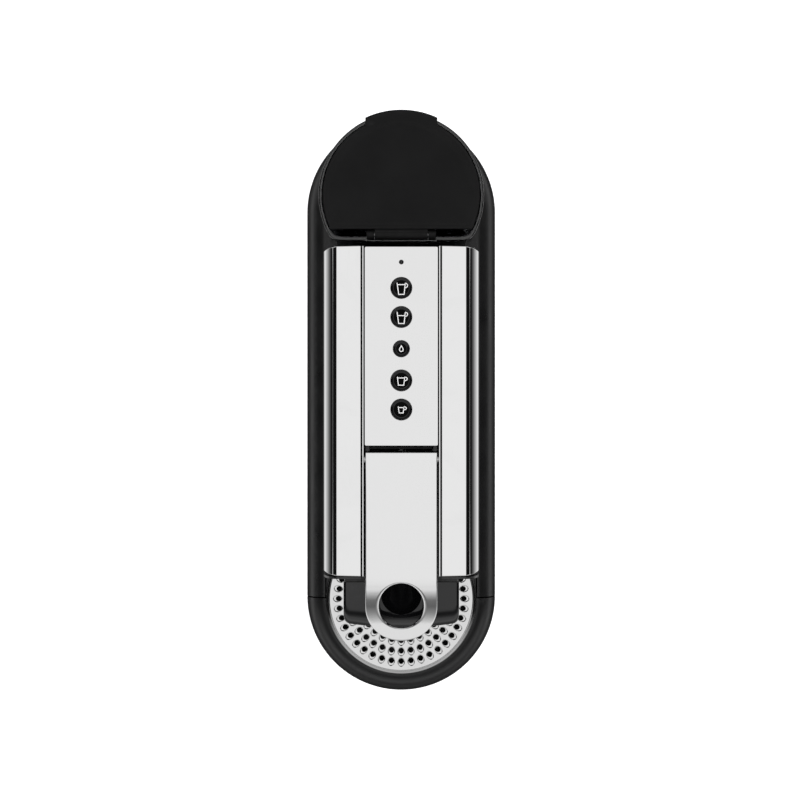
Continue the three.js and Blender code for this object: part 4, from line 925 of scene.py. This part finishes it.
# %% Cast the panel
BUTTONS = ["button_mug", "button_tall_cup", "button_hot_water", "button_cup", "button_small_cup"]
button_places = {}
panel_cuts = []
for name in BUTTONS:
    low, high = node_box(name)
    centre_y, radius = (low.y + high.y) / 2, (high.x - low.x) / 2
    button_places[name] = (centre_y, radius)
    panel_cuts.append(moved(lathe([(radius + 0.25, 260), (radius + 0.25, 275)], 64), y=centre_y))
light_low, light_high = node_box("status_light")
light_y = (light_low.y + light_high.y) / 2
panel_cuts.append(moved(lathe([(1.45, 260), (1.45, 275)], 32), y=light_y))
panel_outline = rounded_box(panel_low.x, panel_low.y, panel_high.x, panel_high.y, 0.8)
panel_mesh = skin([at_height(panel_outline, z) for z in (panel_low.z, panel_high.z)])
make(
    "panel_plate", panel_mesh, "machine", cast_polish, ["control_panel"],
    cuts=panel_cuts, bevel=0.35, steps=3,
)

# %% Close the gap behind it
strip = block(-21.9, panel_high.y - 1.9, 263.35, 21.9, panel_high.y - 0.2, panel_low.z - 0.15)
make("panel_back", strip, "machine", satin_black, bevel=0.3)

# %% [markdown]
# ## The buttons
#
# A button is a low black cap with a sloping rim and a slightly dished top. What it pours is drawn on it
# in white: two tall glasses, a drop and two cups. Each drawing is a thin raised line, made by giving a
# path a width. The middle of the cap is a matt inlay, so only its rim shines.

# %% Turn the caps
for name, (centre_y, radius) in button_places.items():
    low, high = node_box(name)
    middle = radius * 0.35
    rim = [(0.0, -0.75), (-0.25, -0.45), (-1.35, -0.05), (-1.6, 0.0), (-1.9, -0.05)]
    profile = [(radius - 0.4, low.z), (radius, low.z + 0.4)]
    profile += [(radius + r, high.z + z) for r, z in rim] + [(middle, high.z - 0.12)]
    make(name + "_cap", moved(lathe(profile, 72), y=centre_y), name, gloss_black, [name])
    inlay = [(-1.75, -0.2), (-1.75, 0.0), (-1.9, 0.03)]
    face = lathe([(radius + r, high.z + z) for r, z in inlay] + [(middle, high.z)], 72)
    make(name + "_face", moved(face, y=centre_y), name, inlay_black)

# %% Draw the icons


def line_mesh(points, width, z, thickness, closed):
    """A flat line of constant width along a path, a little raised."""
    bm = bmesh.new()
    count = len(points)
    rows = []
    for i, (x, y) in enumerate(points):
        before = points[(i - 1) % count] if closed or i > 0 else points[i]
        after = points[(i + 1) % count] if closed or i < count - 1 else points[i]
        first = Vector((x - before[0], y - before[1]))
        second = Vector((after[0] - x, after[1] - y))
        first = first.normalized() if first.length else second.normalized()
        second = second.normalized() if second.length else first
        tangent = (first + second).normalized()
        side = Vector((-tangent.y, tangent.x))
        reach = width / 2 / max(0.5, side.dot(Vector((-first.y, first.x))))
        ends = ((1, z), (-1, z), (-1, z - thickness), (1, z - thickness))
        corners = [(x + side.x * s * reach, y + side.y * s * reach, h) for s, h in ends]
        rows.append([bm.verts.new(Vector(c) * MM) for c in corners])
    bridge(bm, rows + rows[:1] if closed else rows)
    if not closed:
        bm.faces.new(rows[0])
        bm.faces.new(list(reversed(rows[-1])))
    bmesh.ops.recalc_face_normals(bm, faces=bm.faces)
    return bm


def smooth_path(points, steps=5):
    """More points on a rounded curve through the given ones."""
    padded = [points[0]] + points + [points[-1]]
    path = []
    for a, b, c, d in zip(padded, padded[1:], padded[2:], padded[3:]):
        for i in range(steps):
            t = i / steps
            weights = [-t + 2 * t**2 - t**3, 2 - 5 * t**2 + 3 * t**3]
            weights += [t + 4 * t**2 - 3 * t**3, t**3 - t**2]
            near = list(zip(weights, (a, b, c, d)))
            path.append(tuple(sum(w * p[k] for w, p in near) / 2 for k in (0, 1)))
    return path + [points[-1]]


def glass_lines(wall, drink, handle):
    """Paths of a glass seen from the side: its wall, the level of its drink and its handle."""
    (left, right), level = drink
    return [wall, [(left, level), (right, level)], smooth_path(handle)]


TALL_WALL = [(-2.6, 3.1), (-1.6, -4.0), (1.7, -4.0), (2.4, 2.9)]
DROP = [(0.0, 1.75)] + arc(0, -0.55, 1.15, 1.15, 30, -210, 24)
MUG_HANDLE = [(2.4, 3.0), (3.7, 2.0), (3.6, 0.7), (2.3, -0.2)]
TALL_HANDLE = [(2.4, 3.0), (3.7, 2.2), (3.6, 0.9), (2.2, 0.1)]
CUP_WALL = [(-2.4, 2.2), (-1.8, -2.9), (1.5, -2.9), (2.1, 2.1)]
CUP_HANDLE = [(2.1, 2.1), (3.5, 1.4), (3.3, 0.3), (1.9, -0.3)]
SMALL_WALL = [(-1.9, 1.9), (-1.3, -2.1), (1.1, -2.1), (1.6, 1.8)]
SMALL_HANDLE = [(1.6, 1.8), (3.0, 1.2), (2.8, 0.2), (1.4, -0.2)]
ICONS = {
    "button_mug": glass_lines(TALL_WALL, ((-2.2, 2.1), 1.95), MUG_HANDLE),
    "button_tall_cup": glass_lines(TALL_WALL, ((-2.1, 2.0), 0.8), TALL_HANDLE),
    "button_hot_water": [DROP],
    "button_cup": glass_lines(CUP_WALL, ((-2.1, 1.8), 1.5), CUP_HANDLE),
    "button_small_cup": glass_lines(SMALL_WALL, ((-1.7, 1.4), 1.2), SMALL_HANDLE),
}
LINE_WIDTH, LINE_DEPTH = 0.52, 0.3
for name, paths in ICONS.items():
    centre_y, radius = button_places[name]
    top = node_box(name)[1].z
    for i, path in enumerate(paths):
        placed = [(x, y + centre_y) for x, y in path]
        line = line_mesh(placed, LINE_WIDTH, top + 0.09, LINE_DEPTH, closed=len(paths) == 1)
        make(f"{name}_icon_{i + 1}", line, name, icon_white)

# %% [markdown]
# ## The status light
#
# A tiny clear lens that stands a hair above the panel. It is off, so it looks dark.

# %% Turn the lens
LENS_RADIUS, LENS_DOME = 1.15, 0.35
dome_z = light_high.z - LENS_DOME
dome = [(LENS_RADIUS * math.cos(a), dome_z + LENS_DOME * math.sin(a)) for a in (0.4, 0.8, 1.2, 1.45)]
lens = moved(lathe([(LENS_RADIUS, light_low.z), (LENS_RADIUS, dome_z)] + dome, 32), y=light_y)
make("status_lens", lens, "machine", gloss_black, ["status_light"])

# %% [markdown]
# ## The lever
#
# The lever is a polished casting: a flat strip from the hinge to the front of the body, then a gentle
# bend down to a round end with a finger hole. It is laid out flat, as a strip with a round end and a hole,
# and cut across in many thin bands. Then it is bent over the curve and given its thickness. The hole's
# rim has a broad bevel and every edge a small one.

# %% Lay the strip out flat
lever_low, lever_high = node_box("lever")
LEVER_HALF = lever_high.x
LEVER_TOP = lever_high.z
BEND_RADIUS = 50.0
bend_start = lever_low.y + 38.8
HOLE_CENTRE = -122.5
strip_end = lever_low.y - 1.5
STRIP_BACK = PIVOT_Y + 3.9


def lever_outline(inset, z):
    """The flat strip's outline at z, drawn in by inset everywhere but at the hinge."""
    half = LEVER_HALF - inset
    plan = [(half, STRIP_BACK), (-half, STRIP_BACK)]
    return at_height(plan + arc(0, strip_end + LEVER_HALF, half, half, 180, 360, 72), z)


def hole_outline(rx, ry, z):
    """The hole's outline at z, stretched so that the hole still stands upright once the strip is bent."""
    stretch = BEND_RADIUS / (BEND_RADIUS + z)
    points = []
    for x, y in arc(0, HOLE_CENTRE, rx, ry, 0, 355, 71):
        points.append((x, bend_start + (y - bend_start) * stretch if y < bend_start else y, z))
    return points


print("the strip is", round(STRIP_BACK - strip_end, 1), "mm long")

# %% Close it round the hole and cut it into bands


def add_loop(bm, points):
    """Vertices and edges of one closed loop."""
    verts = [bm.verts.new(Vector(p) * MM) for p in points]
    edges = [bm.edges.new((a, b)) for a, b in zip(verts, verts[1:] + verts[:1])]
    return verts, edges


def wall_of_loops(bm, loops):
    """Skins a stack of loops and gives the edges of its first and last one."""
    rows = [add_loop(bm, loop) for loop in loops]
    bridge(bm, [verts for verts, _ in rows])
    return rows[0][1], rows[-1][1]


strip = bmesh.new()
EDGE_ROUND = [(0.9, 0.0), (0.35, 0.05), (0.12, 0.18), (0.0, 0.45), (0.0, 5.3), (0.2, 5.8), (0.7, 6.0)]
HOLE_FLARE = [(15.9, 14.8, 0.0), (15.4, 14.55, 0.06), (14.7, 14.3, 0.25), (14.0, 14.05, 0.6)]
HOLE_FLARE += [(13.55, 13.9, 1.2), (13.45, 13.85, 5.0), (13.6, 13.9, 6.0)]
rims = wall_of_loops(strip, [lever_outline(inset, -depth) for inset, depth in EDGE_ROUND])
holes_rims = wall_of_loops(strip, [hole_outline(rx, ry, -depth) for rx, ry, depth in HOLE_FLARE])
for rim, hole_rim in zip(rims, holes_rims):
    bmesh.ops.triangle_fill(strip, use_beauty=True, edges=rim + hole_rim, normal=(0, 0, 1))
y_cut = bend_start
while y_cut > strip_end:
    geometry = strip.verts[:] + strip.edges[:] + strip.faces[:]
    bmesh.ops.bisect_plane(strip, geom=geometry, dist=1e-7, plane_co=(0, y_cut * MM, 0), plane_no=(0, 1, 0))
    y_cut -= 1.0
bmesh.ops.recalc_face_normals(strip, faces=strip.faces)

# %% Bend it


def bent(y, depth):
    """Where a point at y and that depth below the strip's top goes when the strip is bent."""
    if y >= bend_start:
        return y, LEVER_TOP - depth
    angle = math.asin(min(0.999, (bend_start - y) / BEND_RADIUS))
    radius = BEND_RADIUS - depth
    return bend_start - radius * math.sin(angle), LEVER_TOP - BEND_RADIUS + radius * math.cos(angle)


for vert in strip.verts:
    y, z = bent(vert.co.y / MM, -vert.co.z / MM)
    vert.co.y, vert.co.z = y * MM, z * MM
print("the lever's strip has", len(strip.faces), "faces")

# %% The hinge barrel
barrel = moved(rod(5.25, -LEVER_HALF, LEVER_HALF, "X", 48), y=PIVOT_Y, z=PIVOT_Z)
make(
    "lever_casting", strip, "lever", cast_polish, ["lever"],
    joins=[barrel], cuts=[pin_hole(32)],
)

# %% [markdown]
# ## The toothed cheeks
#
# Under the lever hang two cheeks with a few gear teeth. They drive the pod cage through an idler wheel
# on each side, so that lifting the lever opens the chamber. The flanks are involutes, the curve that a
# tight string draws as it leaves a drum, because only such teeth roll without a jerk.

# %% Cut the teeth
TOOTH_PITCH = 6.0
PRESSURE = math.radians(25)


def gear_tooth(teeth, centre_degrees):
    """One involute tooth as (y, z) points about the wheel's axis."""
    radius = TOOTH_PITCH * teeth / (2 * math.pi)
    base = radius * math.cos(PRESSURE)

    def involute(r):
        return math.tan(math.acos(base / r)) - math.acos(base / r)

    def half(r):
        return (TOOTH_PITCH / 2 - 0.3) / (2 * radius) + involute(radius) - involute(r)

    low = max(base, radius - 1.7)
    flank = [(radius - 1.7, half(low))]
    flank += [(r, half(r)) for r in (low + (radius + 1.3 - low) * i / 5 for i in range(6))]
    centre = math.radians(centre_degrees)
    rising = [(r * math.cos(centre - a), r * math.sin(centre - a)) for r, a in flank]
    falling = [(r * math.cos(centre + a), r * math.sin(centre + a)) for r, a in flank]
    return rising + falling[::-1]


sector = [(0.0, 0.0)]
for i in range(6):
    sector += gear_tooth(20, -90 - 9 + 18 * i)
for side, sign in (("left", -1), ("right", 1)):
    loops = [along_x(sector, sign * x) for x in (LEVER_HALF - 2.5, LEVER_HALF - 0.1)]
    cheek = moved(skin(loops), y=PIVOT_Y, z=PIVOT_Z)
    make(
        f"lever_cheek_{side}", cheek, "lever", satin_black, ["lever"],
        cuts=[pin_hole(32)], bevel=0.15,
    )

# %% [markdown]
# ## The nose
#
# A glossy block stands ahead of the head and carries the spout. Its front is slightly bowed, its top and
# bottom front edges roll over, and a hollow under the lever's hole gives a finger room. A stack of
# outlines makes the block: towards the top and the bottom each outline is drawn back at the front.

# %% Stack the nose
NOSE_TOP_ROLL, NOSE_LOW_ROLL, NOSE_CORNER, NOSE_BOW = 12.0, 24.0, 4.6, 2.3
nose_half = nose_high.x
nose_length = nose_high.y - nose_low.y


def nose_outline(setback, inset):
    """The block's plan, its front drawn back and its sides drawn in."""
    half = nose_half - inset
    flat = half - NOSE_CORNER
    cy = nose_low.y + NOSE_BOW + NOSE_CORNER
    across = [flat * (i / 10 - 1) for i in range(1, 20)]
    front = [(x, nose_low.y + NOSE_BOW * (x / flat) ** 2) for x in across]
    plan = arc(-flat, cy, NOSE_CORNER, NOSE_CORNER, 180, 262, 8) + front
    plan += arc(flat, cy, NOSE_CORNER, NOSE_CORNER, 278, 360, 8)
    plan += [(half, nose_high.y), (-half, nose_high.y)]
    scale = (nose_length - setback) / nose_length
    return [(x, nose_high.y + (y - nose_high.y) * scale) for x, y in plan]


low_roll = arc(NOSE_LOW_ROLL, NOSE_LOW_ROLL, -NOSE_LOW_ROLL, -NOSE_LOW_ROLL, 90, 0, 12)
top_roll = arc(NOSE_TOP_ROLL, -NOSE_TOP_ROLL, -NOSE_TOP_ROLL, NOSE_TOP_ROLL, 0, 90, 12)
nose_loops = []
for setback, rise in low_roll:
    nose_loops.append(at_height(nose_outline(setback, max(0, 1.2 - rise)), nose_low.z + rise))
for setback, drop in top_roll:
    inset = max(0, 1.5 + drop * 1.5) if drop > -1 else 0
    nose_loops.append(at_height(nose_outline(setback, inset), nose_high.z + drop))

# %% Scoop it out
SCOOP_RADIUS, SCOOP_Z, SCOOP_END, SCOOP_TILT = 13.0, 247.0, -117.0, 16.0
turns = [math.radians(6 * i) for i in range(15)]
scoop_path = [(SCOOP_RADIUS * math.cos(a), SCOOP_END - SCOOP_RADIUS * math.sin(a)) for a in turns]
scoop_path = [(SCOOP_RADIUS, nose_high.y + 6)] + scoop_path
scoop = skin([along_y(circle(r, 48), y) for r, y in scoop_path])
spout_low, spout_high = node_box("coffee_spout")
spout_y = (spout_low.y + spout_high.y) / 2
scoop = moved(turned_to(moved(scoop, y=-SCOOP_END), "X", -SCOOP_TILT), y=SCOOP_END, z=SCOOP_Z)
nose_cuts = [scoop, moved(lathe([(8.3, 180), (8.3, 198)], 48), y=spout_y)]
make(
    "nose_block", skin(nose_loops), "machine", gloss_black, ["nose"],
    cuts=nose_cuts, bevel=0.6, steps=3, angle=32,
)

# %% [markdown]
# ## The spout
#
# The spout is a short turned nozzle under the nose, with a small bead at its mouth and a conical bore.

# %% Turn the spout
mouth = lifted([(3.9, 0.2), (4.3, 0.0), (5.1, 0.1), (5.5, 0.8)], spout_low.z)
spout_profile = [(3.0, 197), (3.0, 178)] + mouth + [(5.7, 177.5), (7.2, 189.4), (7.45, 190.0)]
spout_profile += [(7.9, 190.4), (8.0, 191.2), (8.0, 197)]
nozzle = moved(lathe(spout_profile, 56, ring=True), y=spout_y)
make("spout_nozzle", nozzle, "machine", satin_black, ["coffee_spout"])

# %% [markdown]
# ## The bin for used pods
#
# The bin slides out with the drip unit, and its tall front wall closes the column under the head. The
# front is one flat face, so a real mould gives it a shallow framed panel to keep it from warping.

# %% Mould the bin
bin_front, bin_rear = bin_low.y, bin_high.y
BIN_HALF, BIN_WALL, BIN_TOP = 42.5, 2.0, 149.6


def bin_box(inset, radius, low, high):
    """The bin's plan drawn in, from one height to another."""
    half = BIN_HALF - inset
    plan = rounded_box(-half, bin_front + inset, half, bin_rear - inset, radius)
    return skin([at_height(plan, z) for z in (low, high)])


outer_bin = bin_box(0.0, 5.0, bin_low.z, BIN_TOP)
inner_bin = bin_box(BIN_WALL, 3.2, bin_low.z + BIN_WALL, BIN_TOP + 5)
front_outline_xz = rounded_box(-BIN_HALF, bin_low.z, BIN_HALF, bin_high.z, 2.5, steps=5)
front_wall = skin([along_y(front_outline_xz, y) for y in (bin_front, bin_front + BIN_WALL)])
panel_xz = rounded_box(-36.0, 64.0, 36.0, 160.0, 5.0, steps=6)
panel_recess = skin([along_y(panel_xz, y) for y in (bin_front - 1, bin_front + 0.6)])
make(
    "used_pod_bin", outer_bin, "drip_unit", satin_black, ["pod_bin"],
    joins=[front_wall], cuts=[inner_bin, panel_recess], bevel=0.35,
)

# %% [markdown]
# ## The water tank
#
# The tank is a clear cup with a D-shaped plan: round behind, flat in front. A real one is moulded with
# generous radii where the flat meets the round. The outline blends the two lines smoothly, and the skin
# climbs the outside, rolls over the rim and goes down the inside to the floor.

# %% The plan of the tank
tank_low, tank_high = node_box("water_tank")
TANK_RADIUS = tank_high.x
TANK_Y = tank_high.y - TANK_RADIUS
TANK_CHORD = TANK_Y - tank_low.y
TANK_WALL = 2.5
RIM_TOP = 262.0


def tank_outline(inset, steps=132, softness=26.0):
    """A round with one side cut flat, the two lines blended into each other."""
    points = []
    for i in range(steps):
        angle = 2 * math.pi * i / steps
        toward_front = -math.sin(angle)
        radius = TANK_RADIUS - inset
        if toward_front > 0.05:
            flat = (TANK_CHORD - inset) / toward_front
            radius = (radius**-softness + flat**-softness) ** (-1 / softness)
        points.append((radius * math.cos(angle), TANK_Y + radius * math.sin(angle)))
    return points


foot = [(3.2, 0.0), (1.2, 0.7), (0.3, 2.2), (0.0, 4.0)]
rim = [(0.0, -8.0), (0.0, -0.7), (0.25, -0.2), (0.8, 0.0)]
rim += [(1.7, 0.0), (2.25, -0.2), (2.5, -0.7), (2.5, -8.0)]
inside = [(2.5, 7.0), (3.0, 4.6), (4.4, 3.3), (6.2, 3.0)]
tank_profile = lifted(foot, tank_low.z) + lifted(rim, RIM_TOP) + lifted(inside, tank_low.z)
tank_shell = skin([at_height(tank_outline(inset), z) for inset, z in tank_profile])
print("tank radius", round(TANK_RADIUS, 1), "flat front at", round(TANK_Y - TANK_CHORD, 1))

# %% The hinge lugs, the notch between them and the valve hole
HINGE_Y, HINGE_Z = TANK_Y - TANK_CHORD + 3.6, 260.0
lugs = []
for sign in (-1, 1):
    x0, x1 = sorted((sign * 16.5, sign * 21.3))
    outline = [(HINGE_Y - 3.0, 248), (HINGE_Y + 2.6, 248)] + arc(HINGE_Y, HINGE_Z, 2.9, 2.9, 0, 180, 16)
    lugs.append(skin([along_x(outline, x) for x in (x0, x1)]))
notch = block(-21.9, TANK_Y - TANK_CHORD - 1, HINGE_Z - 3.3, 21.9, TANK_Y - TANK_CHORD + 6.5, RIM_TOP + 2)
valve_hole = moved(lathe([(4.5, 50), (4.5, 60)], 40), y=TANK_Y)
tank_cuts = [notch, valve_hole]
make("tank_shell", tank_shell, "tank", smoked, ["water_tank"], cuts=tank_cuts)
for i, lug in enumerate(lugs):
    make(f"tank_lug_{i + 1}", lug, "tank", matt_black_and_gap_shade, ["water_tank"], bevel=0.5, steps=3)

# %% The level marks: thin arcs printed on the right side
LEVELS = (110.0, 180.0, 240.0)
MARK = [(-0.1, -0.4), (0.12, -0.35), (0.12, 0.35), (-0.1, 0.4)]
for i, z in enumerate(LEVELS):
    loops = []
    for step in range(15):
        angle = math.radians(step * 1.5 - 10.5)
        section = [(TANK_RADIUS + out, z + up) for out, up in MARK]
        loops.append([(r * math.cos(angle), TANK_Y + r * math.sin(angle), h) for r, h in section])
    make(f"level_mark_{i + 1}", skin(loops), "tank", icon_white)

# %% [markdown]
# ## The lid
#
# A matt black plate lies inside the tank's rim, so that the rim shows as a fine line round it. At the
# back a tab reaches over the rim for a finger, and in front a barrel turns between the tank's lugs.

# %% Mould the lid
lid_high = node_box("tank_lid")[1]
LID_INSET = TANK_WALL + 0.15
LID_UNDER, LID_TOP = 259.6, lid_high.z
lid_chord = 107.3


def lid_outline(inset):
    """The tank's plan drawn in, and cut off straight at the lid's front edge."""
    return [(x, max(y, lid_chord + inset)) for x, y in tank_outline(LID_INSET + inset)]


under = lifted([(0.8, 0.0), (0.2, 0.2), (0.0, 0.8)], LID_UNDER)
over = lifted([(0.0, -0.8), (0.25, -0.25), (0.8, 0.0), (3.2, 0.0), (3.8, -0.25), (12.0, -0.35)], LID_TOP)
lid_plate = skin([at_height(lid_outline(inset), z) for inset, z in under + over])
BARREL_HALF = 16.2
barrel = moved(rod(2.95, -BARREL_HALF, BARREL_HALF, "X", 40), y=HINGE_Y, z=HINGE_Z)
neck = block(-BARREL_HALF, HINGE_Y, HINGE_Z - 0.4, BARREL_HALF, lid_chord + 1.5, HINGE_Z + 2.4)
TAB_INNER, TAB_UNDER = 45.6, 262.3
tab_reach = lid_high.y - TANK_Y
tab_outline = arc(0, TANK_Y, tab_reach, tab_reach, 65, 115, 24)
tab_outline += arc(0, TANK_Y, TAB_INNER, TAB_INNER, 121, 59, 24)
tab = skin([at_height(tab_outline, z) for z in (TAB_UNDER, LID_TOP)])
tab_mesh = as_object(tab, "tab_blank")
combine(tab_mesh, block(-22, TANK_Y, 255, 22, 200, 270), "INTERSECT")
tab = bmesh.new()
tab.from_mesh(tab_mesh.data)
bpy.data.objects.remove(tab_mesh)
lid_bore = moved(rod(1.4, -40, 40, "X", 24), y=HINGE_Y, z=HINGE_Z)
make(
    "lid_plate", lid_plate, "lid", matt_black_and_gap_shade, ["tank_lid"],
    joins=[neck, barrel, tab], cuts=[lid_bore], bevel=0.3, angle=50,
)

# %% [markdown]
# ## The feet and the cable gland
#
# Four rubber pads carry the machine. At the back a ribbed rubber sleeve waits for the mains lead.

# %% Feet
for place in ("front_left", "front_right", "rear_left", "rear_right"):
    low, high = node_box(f"foot_{place}")
    radius = (high.x - low.x) / 2
    sole = [(-5.0, 0.4), (-4.4, 0.0), (-1.2, 0.0), (-0.3, 0.5), (0.0, 1.2), (0.0, high.z)]
    pad = lathe([(radius + r, z) for r, z in sole], 48)
    foot = moved(pad, x=(low.x + high.x) / 2, y=(low.y + high.y) / 2)
    make(f"pad_{place}", foot, "machine", soft_rubber, [f"foot_{place}"], bevel=0.1)

# %% Cable gland
GLAND_RADIUS = (gland_high.x - gland_low.x) / 2
gland_profile = [(3.6, gland_low.y), (5.6, gland_low.y), (5.9, gland_high.y - 3.4)]
for i in range(3):
    y = gland_high.y - 3.2 + i * 1.05
    rib, groove = GLAND_RADIUS - 0.1 - 0.6 * i, GLAND_RADIUS - 1.2
    gland_profile += [(groove - 0.5 * i, y), (rib, y + 0.25), (rib, y + 0.7), (groove - 0.6 * i, y + 0.95)]
gland_profile += [(4.4, gland_high.y), (3.6, gland_high.y - 0.2)]
gland_rings = [along_y(circle(r, 48), y) for r, y in gland_profile]
gland_mesh = moved(skin(gland_rings, ring=True), x=gland_x, z=gland_z)
make("cable_gland", gland_mesh, "machine", soft_rubber, ["cord_gland"])

# %% [markdown]
# ## The pieces that keep their solids
#
# The works inside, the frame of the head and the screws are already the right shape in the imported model.
# They stay, and each gets its finish on its own material slots.

# %% Give the inner pieces their finishes
PLATE_SCREWS = [f"plate_screw_{i}" for i in range(1, 5)]
BREW_PARTS = ["idler_left", "idler_right", "brew_frame", "outlet_block"]
HOSES = [f"hose_{run}" for run in ("tank_to_meter", "meter_to_pump", "pump_to_heater", "heater_to_brew")]
INNER_FINISHES = {
    satin_black: ["base_plate", "front_fascia", "tank_connector"],
    # The chassis gets the darker, duller matt black as painted shade, so that the gap behind the panel
    # stays dark
    matt_black_and_gap_shade: ["chassis"],
    bright_steel: ["lever_pin", "lid_pin", "valve_spring", "injector", "pump_coil"] + PLATE_SCREWS,
    white_nylon: BREW_PARTS + ["tank_valve", "valve_guide", "flow_meter"],
    raw_aluminium: ["heater_block", "pod_cage"],
    milky_silicone: ["coffee_channel", "cage_seal", "keypad_mat"] + HOSES,
    green_board: ["control_board", "power_board"],
    turned_brass: ["pump"],
    soft_rubber: ["pump_mount_lower", "pump_mount_upper"],
}
for finish, names in INNER_FINISHES.items():
    for name in names:
        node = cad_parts[name]
        if not node.material_slots:
            node.data.materials.append(finish)
        for holder in node.material_slots:
            holder.material = finish
print(sum(len(names) for names in INNER_FINISHES.values()), "inner pieces have a finish")

# %% [markdown]
# ## The end
#
# The finished machine has to be the size of its frame.

# %% Bring the scene up to date and close
bpy.context.view_layer.update()
